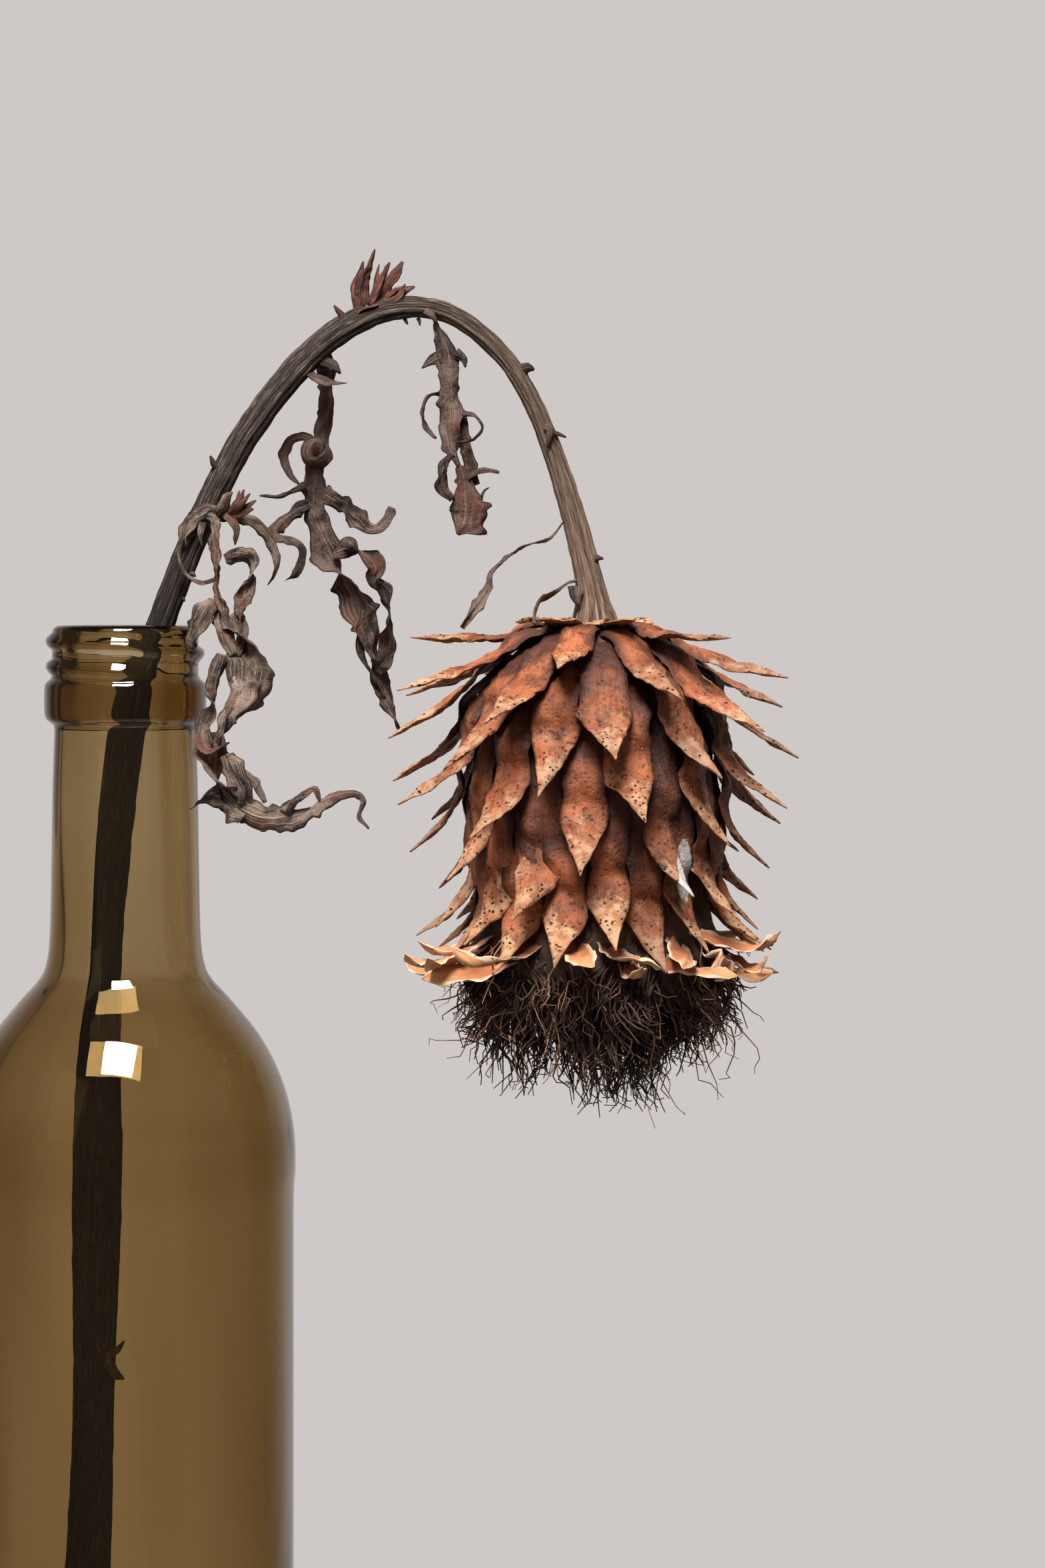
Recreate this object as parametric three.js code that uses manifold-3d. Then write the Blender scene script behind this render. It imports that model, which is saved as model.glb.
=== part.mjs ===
// Dried globe artichoke head, nodding on its arched stem, in a screw-finish glass bottle.
// Millimetres, +Z up. While the part is built, the bottle's axis is x = 0, y = 0 and the height
// z = 0 is the bottle's rim; the last lines stand the whole group on z = 0 and centre it.
import * as THREE from "three";
import { mergeVertices } from "three/addons/utils/BufferGeometryUtils.js";
import Module from "manifold-3d";

const wasm = await Module();
wasm.setup();

// Bottle: a 500 ml body 66 mm wide under a 31.5 mm screw finish.
const BOTTLE_HEIGHT = 260;
const BODY_RADIUS = 32.9;
const WALL = 3.2;
const BORE_RADIUS = 9.8;
const NECK_BORE_RADIUS = 10.2;
const FOOT_INNER_RADIUS = 24.5;
const FOOT_OUTER_RADIUS = 28.5;
const PUSH_UP = 4;
const FLOOR_THICKNESS = 6.5;
const BOTTLE_SEGMENTS = 40;

// Head: hangs from the stem's end, its depth counted down from its top.
const HEAD_AXIS_X = 91.5;
const HEAD_TOP_Z = -2;
const GAP = 0.3;
const GOLDEN_ANGLE = 137.508;
const FIRST_BRACT_ANGLE = 75;
const FIRST_BRACT = -5;
const BRACT_COUNT = 44;
const BRACT_ZERO_DEPTH = 8.9;
const BRACT_PITCH = 1.1;
const BRACT_LAYER = 0.16;
const BRACT_THICKNESS = 1.0;
const BRACT_REACH = 26;
const BRACT_FLARE = 8;
const BRACT_MAX_HALF_ANGLE = 0.26;
const RECEPTACLE_TOP_RADIUS = 4.5;
const RECEPTACLE_RADIUS = 21.5;
const RECEPTACLE_TOP_DEPTH = -2;
const RECEPTACLE_DEPTH = 22;
const RECEPTACLE_ROWS = 8;
const RECEPTACLE_SEGMENTS = 32;
const TUFT_FLUTES = 14;
const TUFT_SIDES = 42;
const TUFT_FLUTE_DEPTH = 0.05;

const FINISHES = {
  bottle: { color: 0x6b5430, roughness: 0.05, metalness: 0, transparent: true, opacity: 0.55 },
  stem: { color: 0x6e5f55, roughness: 0.85, metalness: 0 },
  bract: { color: 0x8d5a44, roughness: 0.7, metalness: 0 },
  receptacle: { color: 0x5a4336, roughness: 0.9, metalness: 0 },
  papery: { color: 0xa87a55, roughness: 0.75, metalness: 0 },
  tuft: { color: 0x3b302b, roughness: 0.95, metalness: 0 },
  leaf: { color: 0x7f6858, roughness: 0.85, metalness: 0 },
  bud: { color: 0x7d4a3a, roughness: 0.8, metalness: 0 },
};

// ---------------------------------------------------------------- shared geometry

// Turns positions and triangles into a geometry whose faces point out.
function closedGeometry(positions, indices) {
  const geometry = new THREE.BufferGeometry();
  geometry.setAttribute("position", new THREE.Float32BufferAttribute(positions, 3));
  geometry.setIndex(indices);
  if (signedVolume(geometry) < 0) {
    geometry.index.array.reverse();
  }
  geometry.computeVertexNormals();
  return geometry;
}

function signedVolume(geometry) {
  const corners = [new THREE.Vector3(), new THREE.Vector3(), new THREE.Vector3()];
  let volume = 0;
  for (let i = 0; i < geometry.index.count; i += 3) {
    corners.forEach((corner, k) => {
      corner.fromBufferAttribute(geometry.attributes.position, geometry.index.getX(i + k));
    });
    volume += corners[0].dot(corners[1].cross(corners[2])) / 6;
  }
  return volume;
}

// Skins a row of rings that all have the same number of points. An open row is closed at each end
// by a fan to the end ring's middle; a closed row joins its last ring to its first.
function skinRings(rings, isLoop = false) {
  const sides = rings[0].length;
  const positions = rings.flat().flatMap((point) => point.toArray());
  const indices = [];
  const bands = isLoop ? rings.length : rings.length - 1;
  for (let band = 0; band < bands; band += 1) {
    const here = band * sides;
    const there = ((band + 1) % rings.length) * sides;
    for (let side = 0; side < sides; side += 1) {
      const next = (side + 1) % sides;
      indices.push(here + side, here + next, there + next);
      indices.push(here + side, there + next, there + side);
    }
  }
  if (!isLoop) {
    capRing(positions, indices, rings[0], 0, true);
    capRing(positions, indices, rings[rings.length - 1], (rings.length - 1) * sides, false);
  }
  return closedGeometry(positions, indices);
}

// Closes a ring by a fan to its middle.
function capRing(positions, indices, ring, start, isFirst) {
  const middle = new THREE.Vector3();
  ring.forEach((point) => middle.add(point));
  middle.divideScalar(ring.length);
  const centre = positions.length / 3;
  positions.push(...middle.toArray());
  for (let side = 0; side < ring.length; side += 1) {
    const a = start + side;
    const b = start + ((side + 1) % ring.length);
    indices.push(centre, isFirst ? b : a, isFirst ? a : b);
  }
}

// Reads an evenly spaced list of values at t from 0 to 1.
function along(values, t) {
  const place = Math.min(Math.max(t, 0), 1) * (values.length - 1);
  const index = Math.min(Math.floor(place), values.length - 2);
  return THREE.MathUtils.lerp(values[index], values[index + 1], place - index);
}

// Sweeps a section along a smooth route. sectionAt(t) gives the section's points as [side, up]
// pairs, and t counts the route's own points, so lists of widths run with the route.
function sweep(route, steps, sectionAt, rollAt = () => 0) {
  const curve = new THREE.CatmullRomCurve3(route.map((point) => new THREE.Vector3(...point)));
  const frames = curve.computeFrenetFrames(steps, false);
  const rings = [];
  for (let step = 0; step <= steps; step += 1) {
    const arc = step / steps;
    const t = curve.getUtoTmapping(arc);
    const centre = curve.getPointAt(arc);
    const side = frames.binormals[step].clone().applyAxisAngle(frames.tangents[step], rollAt(t));
    const up = frames.normals[step].clone().applyAxisAngle(frames.tangents[step], rollAt(t));
    rings.push(
      sectionAt(t).map(([s, u]) => centre.clone().addScaledVector(side, s).addScaledVector(up, u)),
    );
  }
  return skinRings(rings);
}

function roundSection(radius, sides) {
  return Array.from({ length: sides }, (_, k) => {
    const angle = (2 * Math.PI * k) / sides;
    return [radius * Math.cos(angle), radius * Math.sin(angle)];
  });
}

// A thin lens: full thickness in the middle, nearly none at both edges.
function lensSection(width, thickness) {
  const half = width / 2;
  const up = thickness / 2;
  return [
    [-half, 0],
    [-half * 0.45, up],
    [half * 0.45, up],
    [half, 0],
    [half * 0.45, -up],
    [-half * 0.45, -up],
  ];
}

// A round rod whose radius runs with the route's points.
function roundRod(route, radii, steps, sides) {
  return sweep(route, steps, (t) => roundSection(along(radii, t), sides));
}

// A thin leaf or scale: widths in millimetres and rolls in degrees run with the route's points.
function blade({ route, widths, thickness = 0.9, rolls = [0, 0], steps = 12 }) {
  const rollAt = (t) => THREE.MathUtils.degToRad(along(rolls, t));
  return sweep(route, steps, (t) => lensSection(along(widths, t), thickness), rollAt);
}

// A manifold-3d solid of a closed geometry, its shared corners merged.
function toSolid(geometry) {
  const bare = geometry.clone();
  bare.deleteAttribute("normal");
  bare.deleteAttribute("uv");
  const merged = mergeVertices(bare, 1e-4);
  return new wasm.Manifold(
    new wasm.Mesh({
      numProp: 3,
      vertProperties: merged.attributes.position.array,
      triVerts: new Uint32Array(merged.index.array),
    }),
  );
}

// Spins a profile of [radius, height] pairs, whose ends lie on the axis, about Z.
function spun(profile, segments) {
  const points = profile.map(([radius, height]) => new THREE.Vector2(radius, height));
  return joined([new THREE.LatheGeometry(points, segments).rotateX(Math.PI / 2)]);
}

// Several overlapping closed geometries as one.
function joined(geometries) {
  const solid = geometries.map(toSolid).reduce((sum, next) => sum.add(next));
  const mesh = solid.getMesh();
  return closedGeometry(Array.from(mesh.vertProperties), Array.from(mesh.triVerts));
}

// A mesh with its node's name and one of the finishes.
function named(name, geometry, finish) {
  const mesh = new THREE.Mesh(geometry, new THREE.MeshStandardMaterial(FINISHES[finish]));
  mesh.name = name;
  return mesh;
}

// ---------------------------------------------------------------- bottle

// Outer outline from the foot up, as [radius, height from the rim].
function bottleOutside() {
  const base = -BOTTLE_HEIGHT;
  return [
    [FOOT_INNER_RADIUS, base],
    [FOOT_OUTER_RADIUS, base],
    [31.2, base + 1.2],
    [BODY_RADIUS - 0.3, base + 4],
    [BODY_RADIUS, base + 8],
    [BODY_RADIUS, -112],
    [33.2, -105.8],
    [33, -99.3],
    [31.8, -92.8],
    [29.5, -86.3],
    [25.8, -79.8],
    [20.5, -73.2],
    [16.6, -69],
    [15.1, -65],
    [14.6, -58],
    [14.2, -40],
    [13.8, -20],
    [15.75, -17.8],
    [15.75, -10.7],
    [14.3, -10.3],
    [15.5, -9.3],
    [14.3, -7.9],
    [14.3, -5.6],
    [15.5, -4.2],
    [14.3, -2.8],
    [14.1, -1],
    [13.2, 0],
  ];
}

// Bore and inside of the body, from the rim down.
function bottleInside() {
  const base = -BOTTLE_HEIGHT;
  const inside = BODY_RADIUS - WALL;
  return [
    [BORE_RADIUS + 0.9, 0],
    [BORE_RADIUS, -1.4],
    [BORE_RADIUS, -18],
    [NECK_BORE_RADIUS, -26],
    [NECK_BORE_RADIUS + 0.6, -62],
    [12.6, -69],
    [17, -74.5],
    [23, -82],
    [27.2, -90],
    [inside, -102],
    [inside, -114],
    [inside, base + 14],
    [inside - 2.5, base + FLOOR_THICKNESS + 3],
    [inside - 7, base + FLOOR_THICKNESS + 0.6],
    [FOOT_INNER_RADIUS - 8, base + FLOOR_THICKNESS + PUSH_UP * 0.6],
  ];
}

function makeBottle() {
  const floorMiddle = [0, -BOTTLE_HEIGHT + FLOOR_THICKNESS + PUSH_UP];
  const pushUp = [
    [0, -BOTTLE_HEIGHT + PUSH_UP],
    [14, -BOTTLE_HEIGHT + PUSH_UP * 0.85],
    [22, -BOTTLE_HEIGHT + PUSH_UP * 0.35],
  ];
  const outline = [...pushUp, ...bottleOutside(), ...bottleInside(), floorMiddle];
  return named("bottle", spun(outline, BOTTLE_SEGMENTS), "bottle");
}

// ---------------------------------------------------------------- stem, leaves and buds

// The stem's middle line from the bottle's floor, over the arch, to the head: x, y, z, radius.
const STEM_ROUTE = [
  [-12, 2, -246, 4.2],
  [-9.5, 1.5, -215, 4.1],
  [-7.2, 1, -184, 4],
  [-6, 0.5, -148, 3.9],
  [-5.4, 0, -112, 3.7],
  [-4.8, 0, -80, 3.45],
  [-3.4, 0, -49, 3.1],
  [-0.6, 0, -26, 2.9],
  [2.5, 0, -11.5, 2.7],
  [6.9, 0, 0, 2.5],
  [14.6, -0.5, 19.5, 2.5],
  [24.2, -1, 37.8, 2.5],
  [36.8, -1.5, 53.2, 2.5],
  [48.5, -1.5, 60.6, 2.2],
  [60, -1.5, 61.7, 1.9],
  [69.2, -1.5, 56.9, 1.75],
  [76.7, -1, 48.6, 1.7],
  [82.5, -0.5, 36.5, 1.8],
  [87.5, 0, 21.2, 2.2],
  [91, 0, 7.5, 2.7],
  [91.6, 0, 0.4, 4.2],
];
const STEM_STEPS = 58;
const STEM_SIDES = 10;

// Leaf scars, spurs and short pegs that are part of the stem: root, tip, radius at the root.
const STEM_PEGS = [
  { root: [-4.5, -1, -142], tip: [1.5, -4.5, -148], radius: 1.6 },
  { root: [43.5, -1.5, 57.5], tip: [42.6, -2, 62.4], radius: 1.1 },
  { root: [77.5, -1, 48.5], tip: [80.8, -1.5, 50], radius: 1.4 },
  { root: [83, -0.5, 36], tip: [86, -1.5, 38.6], radius: 1.3 },
  { root: [89.5, 0, 12.6], tip: [94.8, -2, 13.8], radius: 1.3 },
  { root: [20, -0.8, 30.5], tip: [17.2, -1.5, 32.6], radius: 1.2 },
];

function makeStem() {
  const route = STEM_ROUTE.map(([x, y, z]) => [x, y, z]);
  const radii = STEM_ROUTE.map((point) => point[3]);
  const rod = roundRod(route, radii, STEM_STEPS, STEM_SIDES);
  const pegs = STEM_PEGS.map(({ root, tip, radius }) => {
    const middle = root.map((value, k) => (value + tip[k]) / 2);
    return roundRod([root, middle, tip], [radius, radius * 0.75, 0.35], 3, 6);
  });
  return named("stem", joined([rod, ...pegs]), "stem");
}

const LEAVES = [
  {
    name: "leaf_lower",
    route: [
      [17.6, -4.2, 19],
      [19.6, -8, 6],
      [21.5, -11, -8],
      [19.8, -12.5, -20],
      [19, -13.5, -29],
      [24, -14, -36],
      [33.5, -15.5, -37.5],
      [41, -17, -34],
      [47, -18.5, -34],
      [48.5, -19, -39],
    ],
    widths: [2.5, 6, 9, 9.5, 9, 8, 8.5, 7, 5, 1],
    rolls: [0, 20, -20, 10, 60, 40, -20, 0, 20, 40],
    steps: 20,
  },
  {
    name: "leaf_middle",
    route: [
      [37.6, 1.7, 50.5],
      [38.1, 5, 38],
      [36.6, 7, 24],
      [40.5, 8, 14.5],
      [44.5, 8.5, 7.5],
      [47, 9.5, -1],
      [49, 11, -10],
      [53, 13, -19],
    ],
    widths: [2.5, 7, 9, 10, 8, 7, 5, 1],
    rolls: [0, 15, -15, 25, 50, 10, -20, 0],
    steps: 16,
  },
  {
    name: "leaf_upper",
    route: [
      [60.6, -1.2, 59],
      [62.1, -1, 54],
      [63.6, -2, 47],
      [64.4, -2.5, 39],
      [65.2, -2.5, 31.5],
      [66.3, -1.5, 24.5],
      [67.5, -1, 18],
    ],
    widths: [2, 6, 8.5, 9, 8, 6.5, 1.5],
    rolls: [0, 30, 0, -30, 10, 40, 20],
    steps: 12,
  },
  {
    name: "withered_leaf_long",
    route: [
      [85.3, -1, 18.2],
      [81.2, -2, 15.6],
      [76.6, -2.5, 14],
      [72.1, -3, 8.8],
      [69.4, -3, 3.2],
      [65.8, -3, -2.2],
    ],
    widths: [1.4, 2, 1.6, 1.8, 1.4, 0.6],
    steps: 9,
  },
  {
    name: "withered_leaf_short",
    route: [
      [87.5, -1, 8.6],
      [84, -1.6, 5.6],
      [81.6, -2, 3.8],
      [80.4, -2.2, 1.2],
    ],
    widths: [1.4, 2.2, 1.6, 0.6],
    steps: 5,
  },
  {
    name: "leaflet_arching",
    route: [
      [17.6, 2.6, 20.5],
      [22.5, 3.6, 21],
      [26.6, 4, 16],
      [29, 4, 8.6],
    ],
    widths: [1.4, 2.4, 2, 0.6],
    steps: 6,
  },
  {
    name: "leaflet_looped",
    route: [
      [11.4, -3.4, 18.6],
      [9.4, -4.6, 15],
      [10.6, -5, 10.6],
      [15.4, -5, 8],
    ],
    widths: [1.4, 2.2, 1.8, 0.6],
    steps: 6,
  },
];

function makeLeaves() {
  return LEAVES.map((leaf) => named(leaf.name, blade(leaf), "leaf"));
}

// A shoot of a few pointed scales that share one foot.
function makeBud(name, foot, tips) {
  const scales = tips.map((tip) => {
    const middle = foot.map((value, k) => value * 0.55 + tip[k] * 0.45);
    return blade({
      route: [foot, middle, tip],
      widths: [1.6, 3.4, 0.5],
      thickness: 1.3,
      steps: 4,
    });
  });
  return named(name, joined(scales), "bud");
}

const UPPER_BUD_FOOT = [48.8, -1.5, 64];
const UPPER_BUD_TIPS = [
  [49.2, -2, 72.7],
  [54.9, -1.5, 69.5],
  [56.1, -2.6, 66],
  [46, 0, 69],
  [52, 1.5, 71],
];
const LOWER_BUD_FOOT = [19, -2.5, 22.6];
const LOWER_BUD_TIPS = [
  [23.4, -3, 26.6],
  [24.6, -4, 24],
  [22.4, -5.5, 27.4],
];

// ---------------------------------------------------------------- head

// Turns a depth and radius of the head into a point; angle 0 faces -Y, and grows towards +X.
function headPoint(depth, radius, angle) {
  return new THREE.Vector3(radius * Math.sin(angle), -radius * Math.cos(angle), -depth);
}

// The head's outer surface, from the stem over the shoulder and down, as radius and depth.
const SURFACE = new THREE.SplineCurve([
  new THREE.Vector2(4, -3.6),
  new THREE.Vector2(13, -2),
  new THREE.Vector2(22.5, 3.8),
  new THREE.Vector2(28.8, 12.6),
  new THREE.Vector2(31.5, 27),
  new THREE.Vector2(31.5, 42),
  new THREE.Vector2(30.5, 58),
]);
const SURFACE_LENGTH = SURFACE.getLength();

// Arc length of the surface, from the stem, at which it reaches a depth.
function arcAtDepth(depth) {
  let low = 0;
  let high = 1;
  for (let turn = 0; turn < 24; turn += 1) {
    const middle = (low + high) / 2;
    if (SURFACE.getPointAt(middle).y < depth) {
      low = middle;
    } else {
      high = middle;
    }
  }
  return low * SURFACE_LENGTH;
}

// A point of the surface, sunk under it and pushed out from the axis.
function surfacePoint(arc, sunk, out) {
  const fraction = Math.min(Math.max(arc / SURFACE_LENGTH, 0), 1);
  const point = SURFACE.getPointAt(fraction);
  const tangent = SURFACE.getTangentAt(fraction);
  return new THREE.Vector2(point.x - tangent.y * sunk + out, point.y + tangent.x * sunk);
}

// The receptacle's rounded side; angle 0 is at the stem and 90 degrees at its lower edge.
function receptaclePoint(angle) {
  const height = RECEPTACLE_DEPTH - RECEPTACLE_TOP_DEPTH;
  return new THREE.Vector2(
    RECEPTACLE_TOP_RADIUS + (RECEPTACLE_RADIUS - RECEPTACLE_TOP_RADIUS) * Math.sin(angle),
    RECEPTACLE_TOP_DEPTH + height * (1 - Math.cos(angle)),
  );
}

function makeReceptacle() {
  const profile = [[0, -RECEPTACLE_TOP_DEPTH]];
  for (let row = 0; row <= RECEPTACLE_ROWS; row += 1) {
    const point = receptaclePoint((row / RECEPTACLE_ROWS) * (Math.PI / 2));
    profile.push([point.x, -point.y]);
  }
  profile.push([0, -RECEPTACLE_DEPTH]);
  return named("receptacle", spun(profile, RECEPTACLE_SEGMENTS), "receptacle");
}

const BRACT_WIDTHS = [8, 10, 11, 10.5, 9.5, 9, 7.5, 4.5, 0.8];
const BRACT_STEPS = 8;
const BRACT_TIP_THINNING = 0.6;
// The middle and the outward bend of a bract, as shares of its reach before the tip, and how much
// of the flare is there at the bend.
const MIDDLE_BEFORE_TIP = 0.52;
const BEND_BEFORE_TIP = 0.24;
const FLARE_AT_BEND = 0.14;
// Where the first and the last bract leave the receptacle, as shares of its rounded side.
const FIRST_ATTACHMENT = 0.08;
const LAST_ATTACHMENT = 0.86;

// Middle line of one bract in the head's radius and depth: it leaves the receptacle, lies under the
// bracts outside it, and flares out at its tip.
function bractLine(order) {
  const rank = order - FIRST_BRACT;
  const sunk = rank * BRACT_LAYER;
  const tipArc = arcAtDepth(BRACT_ZERO_DEPTH + BRACT_PITCH * order);
  const reach = Math.min(BRACT_REACH, tipArc - RECEPTACLE_TOP_RADIUS);
  const share = THREE.MathUtils.lerp(FIRST_ATTACHMENT, LAST_ATTACHMENT, rank / (BRACT_COUNT - 1));
  const angle = share * (Math.PI / 2);
  const foot = receptaclePoint(angle);
  foot.x += Math.sin(angle) * (GAP + BRACT_THICKNESS / 2);
  foot.y -= Math.cos(angle) * (GAP + BRACT_THICKNESS / 2);
  return new THREE.SplineCurve([
    foot,
    surfacePoint(tipArc - reach * MIDDLE_BEFORE_TIP, sunk, 0),
    surfacePoint(tipArc - reach * BEND_BEFORE_TIP, sunk, BRACT_FLARE * FLARE_AT_BEND),
    surfacePoint(tipArc, sunk, BRACT_FLARE),
  ]);
}

function makeBract(order) {
  const line = bractLine(order);
  const heading = THREE.MathUtils.degToRad(FIRST_BRACT_ANGLE - GOLDEN_ANGLE * order);
  const rings = [];
  for (let step = 0; step <= BRACT_STEPS; step += 1) {
    const fraction = step / BRACT_STEPS;
    const centre = line.getPointAt(fraction);
    const tangent = line.getTangentAt(fraction);
    const widest = 2 * BRACT_MAX_HALF_ANGLE * centre.x;
    const width = Math.min(along(BRACT_WIDTHS, fraction), widest);
    const thickness = BRACT_THICKNESS * (1 - BRACT_TIP_THINNING * fraction * fraction);
    rings.push(
      lensSection(width, thickness).map(([side, up]) => {
        const radius = centre.x + tangent.y * up;
        return headPoint(centre.y - tangent.x * up, radius, heading + side / centre.x);
      }),
    );
  }
  const number = String(order - FIRST_BRACT + 1).padStart(2, "0");
  return named(`bract_${number}`, skinRings(rings), "bract");
}

// The innermost bracts stand edge over edge, each whorl joined in one crown with pointed tips. Its
// radii run evenly from the top to the tips, and its edge lies at edge between the tips.
const CROWNS = [
  {
    name: "inner_bracts",
    finish: "bract",
    tips: 22,
    top: 36,
    edge: 53,
    tipLength: 8.5,
    thickness: 0.7,
    radii: [23.45, 23.5, 23.8, 25.2, 27.8, 31, 35],
  },
  {
    name: "papery_bracts",
    finish: "papery",
    tips: 26,
    top: RECEPTACLE_DEPTH + GAP,
    edge: 58.5,
    tipLength: 8,
    thickness: 0.9,
    radii: [21.4, 21.7, 22, 22.4, 23.8, 27.4, 31.2],
  },
];
const CROWN_ROWS = 5;
const CROWN_UNEVENNESS = 1.5;
const CROWN_UNEVEN_TURN = 2.4;

function makeCrown({ name, finish, tips, top, edge, tipLength, thickness, radii }) {
  const columns = tips * 2;
  const rings = [];
  for (let column = 0; column < columns; column += 1) {
    const angle = (2 * Math.PI * column) / columns;
    const isTip = column % 2 === 0;
    const uneven = CROWN_UNEVENNESS * Math.sin(column * CROWN_UNEVEN_TURN);
    const end = edge + (isTip ? tipLength : 0) + uneven;
    const outside = [];
    const inside = [];
    for (let row = 0; row <= CROWN_ROWS; row += 1) {
      const depth = THREE.MathUtils.lerp(top, end, row / CROWN_ROWS);
      const radius = along(radii, (depth - top) / (edge + tipLength - top));
      outside.push(headPoint(depth, radius + thickness / 2, angle));
      inside.unshift(headPoint(depth, radius - thickness / 2, angle));
    }
    rings.push([...outside, ...inside]);
  }
  return named(name, skinRings(rings, true), finish);
}

// The florets and their bristles stand on the receptacle's underside as one packed, fluted mass.
function makeFloretTuft() {
  const depths = [22.4, 30, 38, 46, 52, 58, 63, 68, 73, 78, 82.5, 86.5, 89.5];
  const radii = [20.3, 20.6, 21.1, 21.9, 23, 24.6, 26.8, 29.6, 32.8, 33.8, 31.2, 24, 11];
  const rings = depths.map((depth, row) => {
    const looseness = row / (depths.length - 1);
    return Array.from({ length: TUFT_SIDES }, (_, side) => {
      const angle = (2 * Math.PI * side) / TUFT_SIDES;
      const flute = 1 - TUFT_FLUTE_DEPTH * looseness * (0.5 + 0.5 * Math.cos(angle * TUFT_FLUTES));
      return headPoint(depth, radii[row] * flute, angle);
    });
  });
  return named("floret_tuft", skinRings(rings), "tuft");
}

function makeHead() {
  const head = new THREE.Group();
  head.position.set(HEAD_AXIS_X, 0, HEAD_TOP_Z);
  head.add(makeReceptacle());
  head.add(makeFloretTuft());
  head.add(...CROWNS.map(makeCrown));
  for (let rank = 0; rank < BRACT_COUNT; rank += 1) {
    head.add(makeBract(FIRST_BRACT + rank));
  }
  return head;
}

// ---------------------------------------------------------------- the whole part

const part = new THREE.Group();
part.add(makeBottle());
part.add(makeStem());
part.add(...makeLeaves());
part.add(makeBud("bud_upper", UPPER_BUD_FOOT, UPPER_BUD_TIPS));
part.add(makeBud("bud_lower", LOWER_BUD_FOOT, LOWER_BUD_TIPS));
part.add(makeHead());

part.updateMatrixWorld(true);
const extent = new THREE.Box3().setFromObject(part);
const middle = extent.getCenter(new THREE.Vector3());
part.position.set(-middle.x, -middle.y, -extent.min.z);

export default part;
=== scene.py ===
"""Dresses a dried artichoke head that nods from its arched stem in a glass bottle.

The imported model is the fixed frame; every visible piece is built around it, in metres, with +Z up.
Routes are given in millimetres from the point where the bottle's axis meets its rim.
"""

import logging
import math
import random
from collections.abc import Sequence
from dataclasses import dataclass, field
from enum import Enum
from functools import cached_property

import bpy
import numpy as np
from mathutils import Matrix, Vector, noise


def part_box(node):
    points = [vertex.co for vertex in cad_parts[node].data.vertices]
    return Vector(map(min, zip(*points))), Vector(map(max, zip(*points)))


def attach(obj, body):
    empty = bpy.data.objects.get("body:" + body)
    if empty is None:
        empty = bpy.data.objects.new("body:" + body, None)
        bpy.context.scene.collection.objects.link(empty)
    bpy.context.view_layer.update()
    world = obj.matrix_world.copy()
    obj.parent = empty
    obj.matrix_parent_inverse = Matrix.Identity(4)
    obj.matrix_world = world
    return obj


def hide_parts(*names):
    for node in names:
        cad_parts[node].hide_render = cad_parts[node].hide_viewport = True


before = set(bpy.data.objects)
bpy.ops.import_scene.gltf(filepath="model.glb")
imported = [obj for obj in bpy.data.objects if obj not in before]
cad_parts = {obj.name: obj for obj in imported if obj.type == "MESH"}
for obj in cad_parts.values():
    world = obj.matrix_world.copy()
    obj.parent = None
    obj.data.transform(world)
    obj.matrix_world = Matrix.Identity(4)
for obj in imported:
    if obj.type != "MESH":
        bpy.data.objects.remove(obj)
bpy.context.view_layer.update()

MM = 0.001
BODY = "root"
GOLDEN_ANGLE = math.radians(137.508)
MAP_LENGTH = 0.06
LOG = logging.getLogger("artichoke")

Point = tuple[float, float, float]
Colour = tuple[float, float, float, float]


def srgb(red: int, green: int, blue: int) -> Colour:
    """Turns a screen colour of 0 to 255 into linear red, green, blue and alpha.

    Args:
        red: The red level.
        green: The green level.
        blue: The blue level.

    Returns:
        The linear colour.
    """
    def linear(level: int) -> float:
        """One level of 0 to 255 in linear light."""
        share = level / 255
        return share / 12.92 if share <= 0.04045 else ((share + 0.055) / 1.055) ** 2.4

    return linear(red), linear(green), linear(blue), 1.0


# ---------------------------------------------------------------- node trees


class Wire:
    """One value, colour or vector that runs through a node tree."""

    def __init__(self, graph: "Graph", socket: bpy.types.NodeSocket) -> None:
        """Keeps the tree and the socket that the value comes out of."""
        self.graph = graph
        self.socket = socket

    def __add__(self, other: "Source") -> "Wire":
        """Adds another value."""
        return self.graph.maths("ADD", self, other)

    __radd__ = __add__

    def __sub__(self, other: "Source") -> "Wire":
        """Takes another value away."""
        return self.graph.maths("SUBTRACT", self, other)

    def __rsub__(self, other: "Source") -> "Wire":
        """Takes this away from another value."""
        return self.graph.maths("SUBTRACT", other, self)

    def __mul__(self, other: "Source") -> "Wire":
        """Multiplies by another value."""
        return self.graph.maths("MULTIPLY", self, other)

    __rmul__ = __mul__

    def __truediv__(self, other: "Source") -> "Wire":
        """Divides by another value."""
        return self.graph.maths("DIVIDE", self, other)


Source = Wire | float | int | tuple


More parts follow.
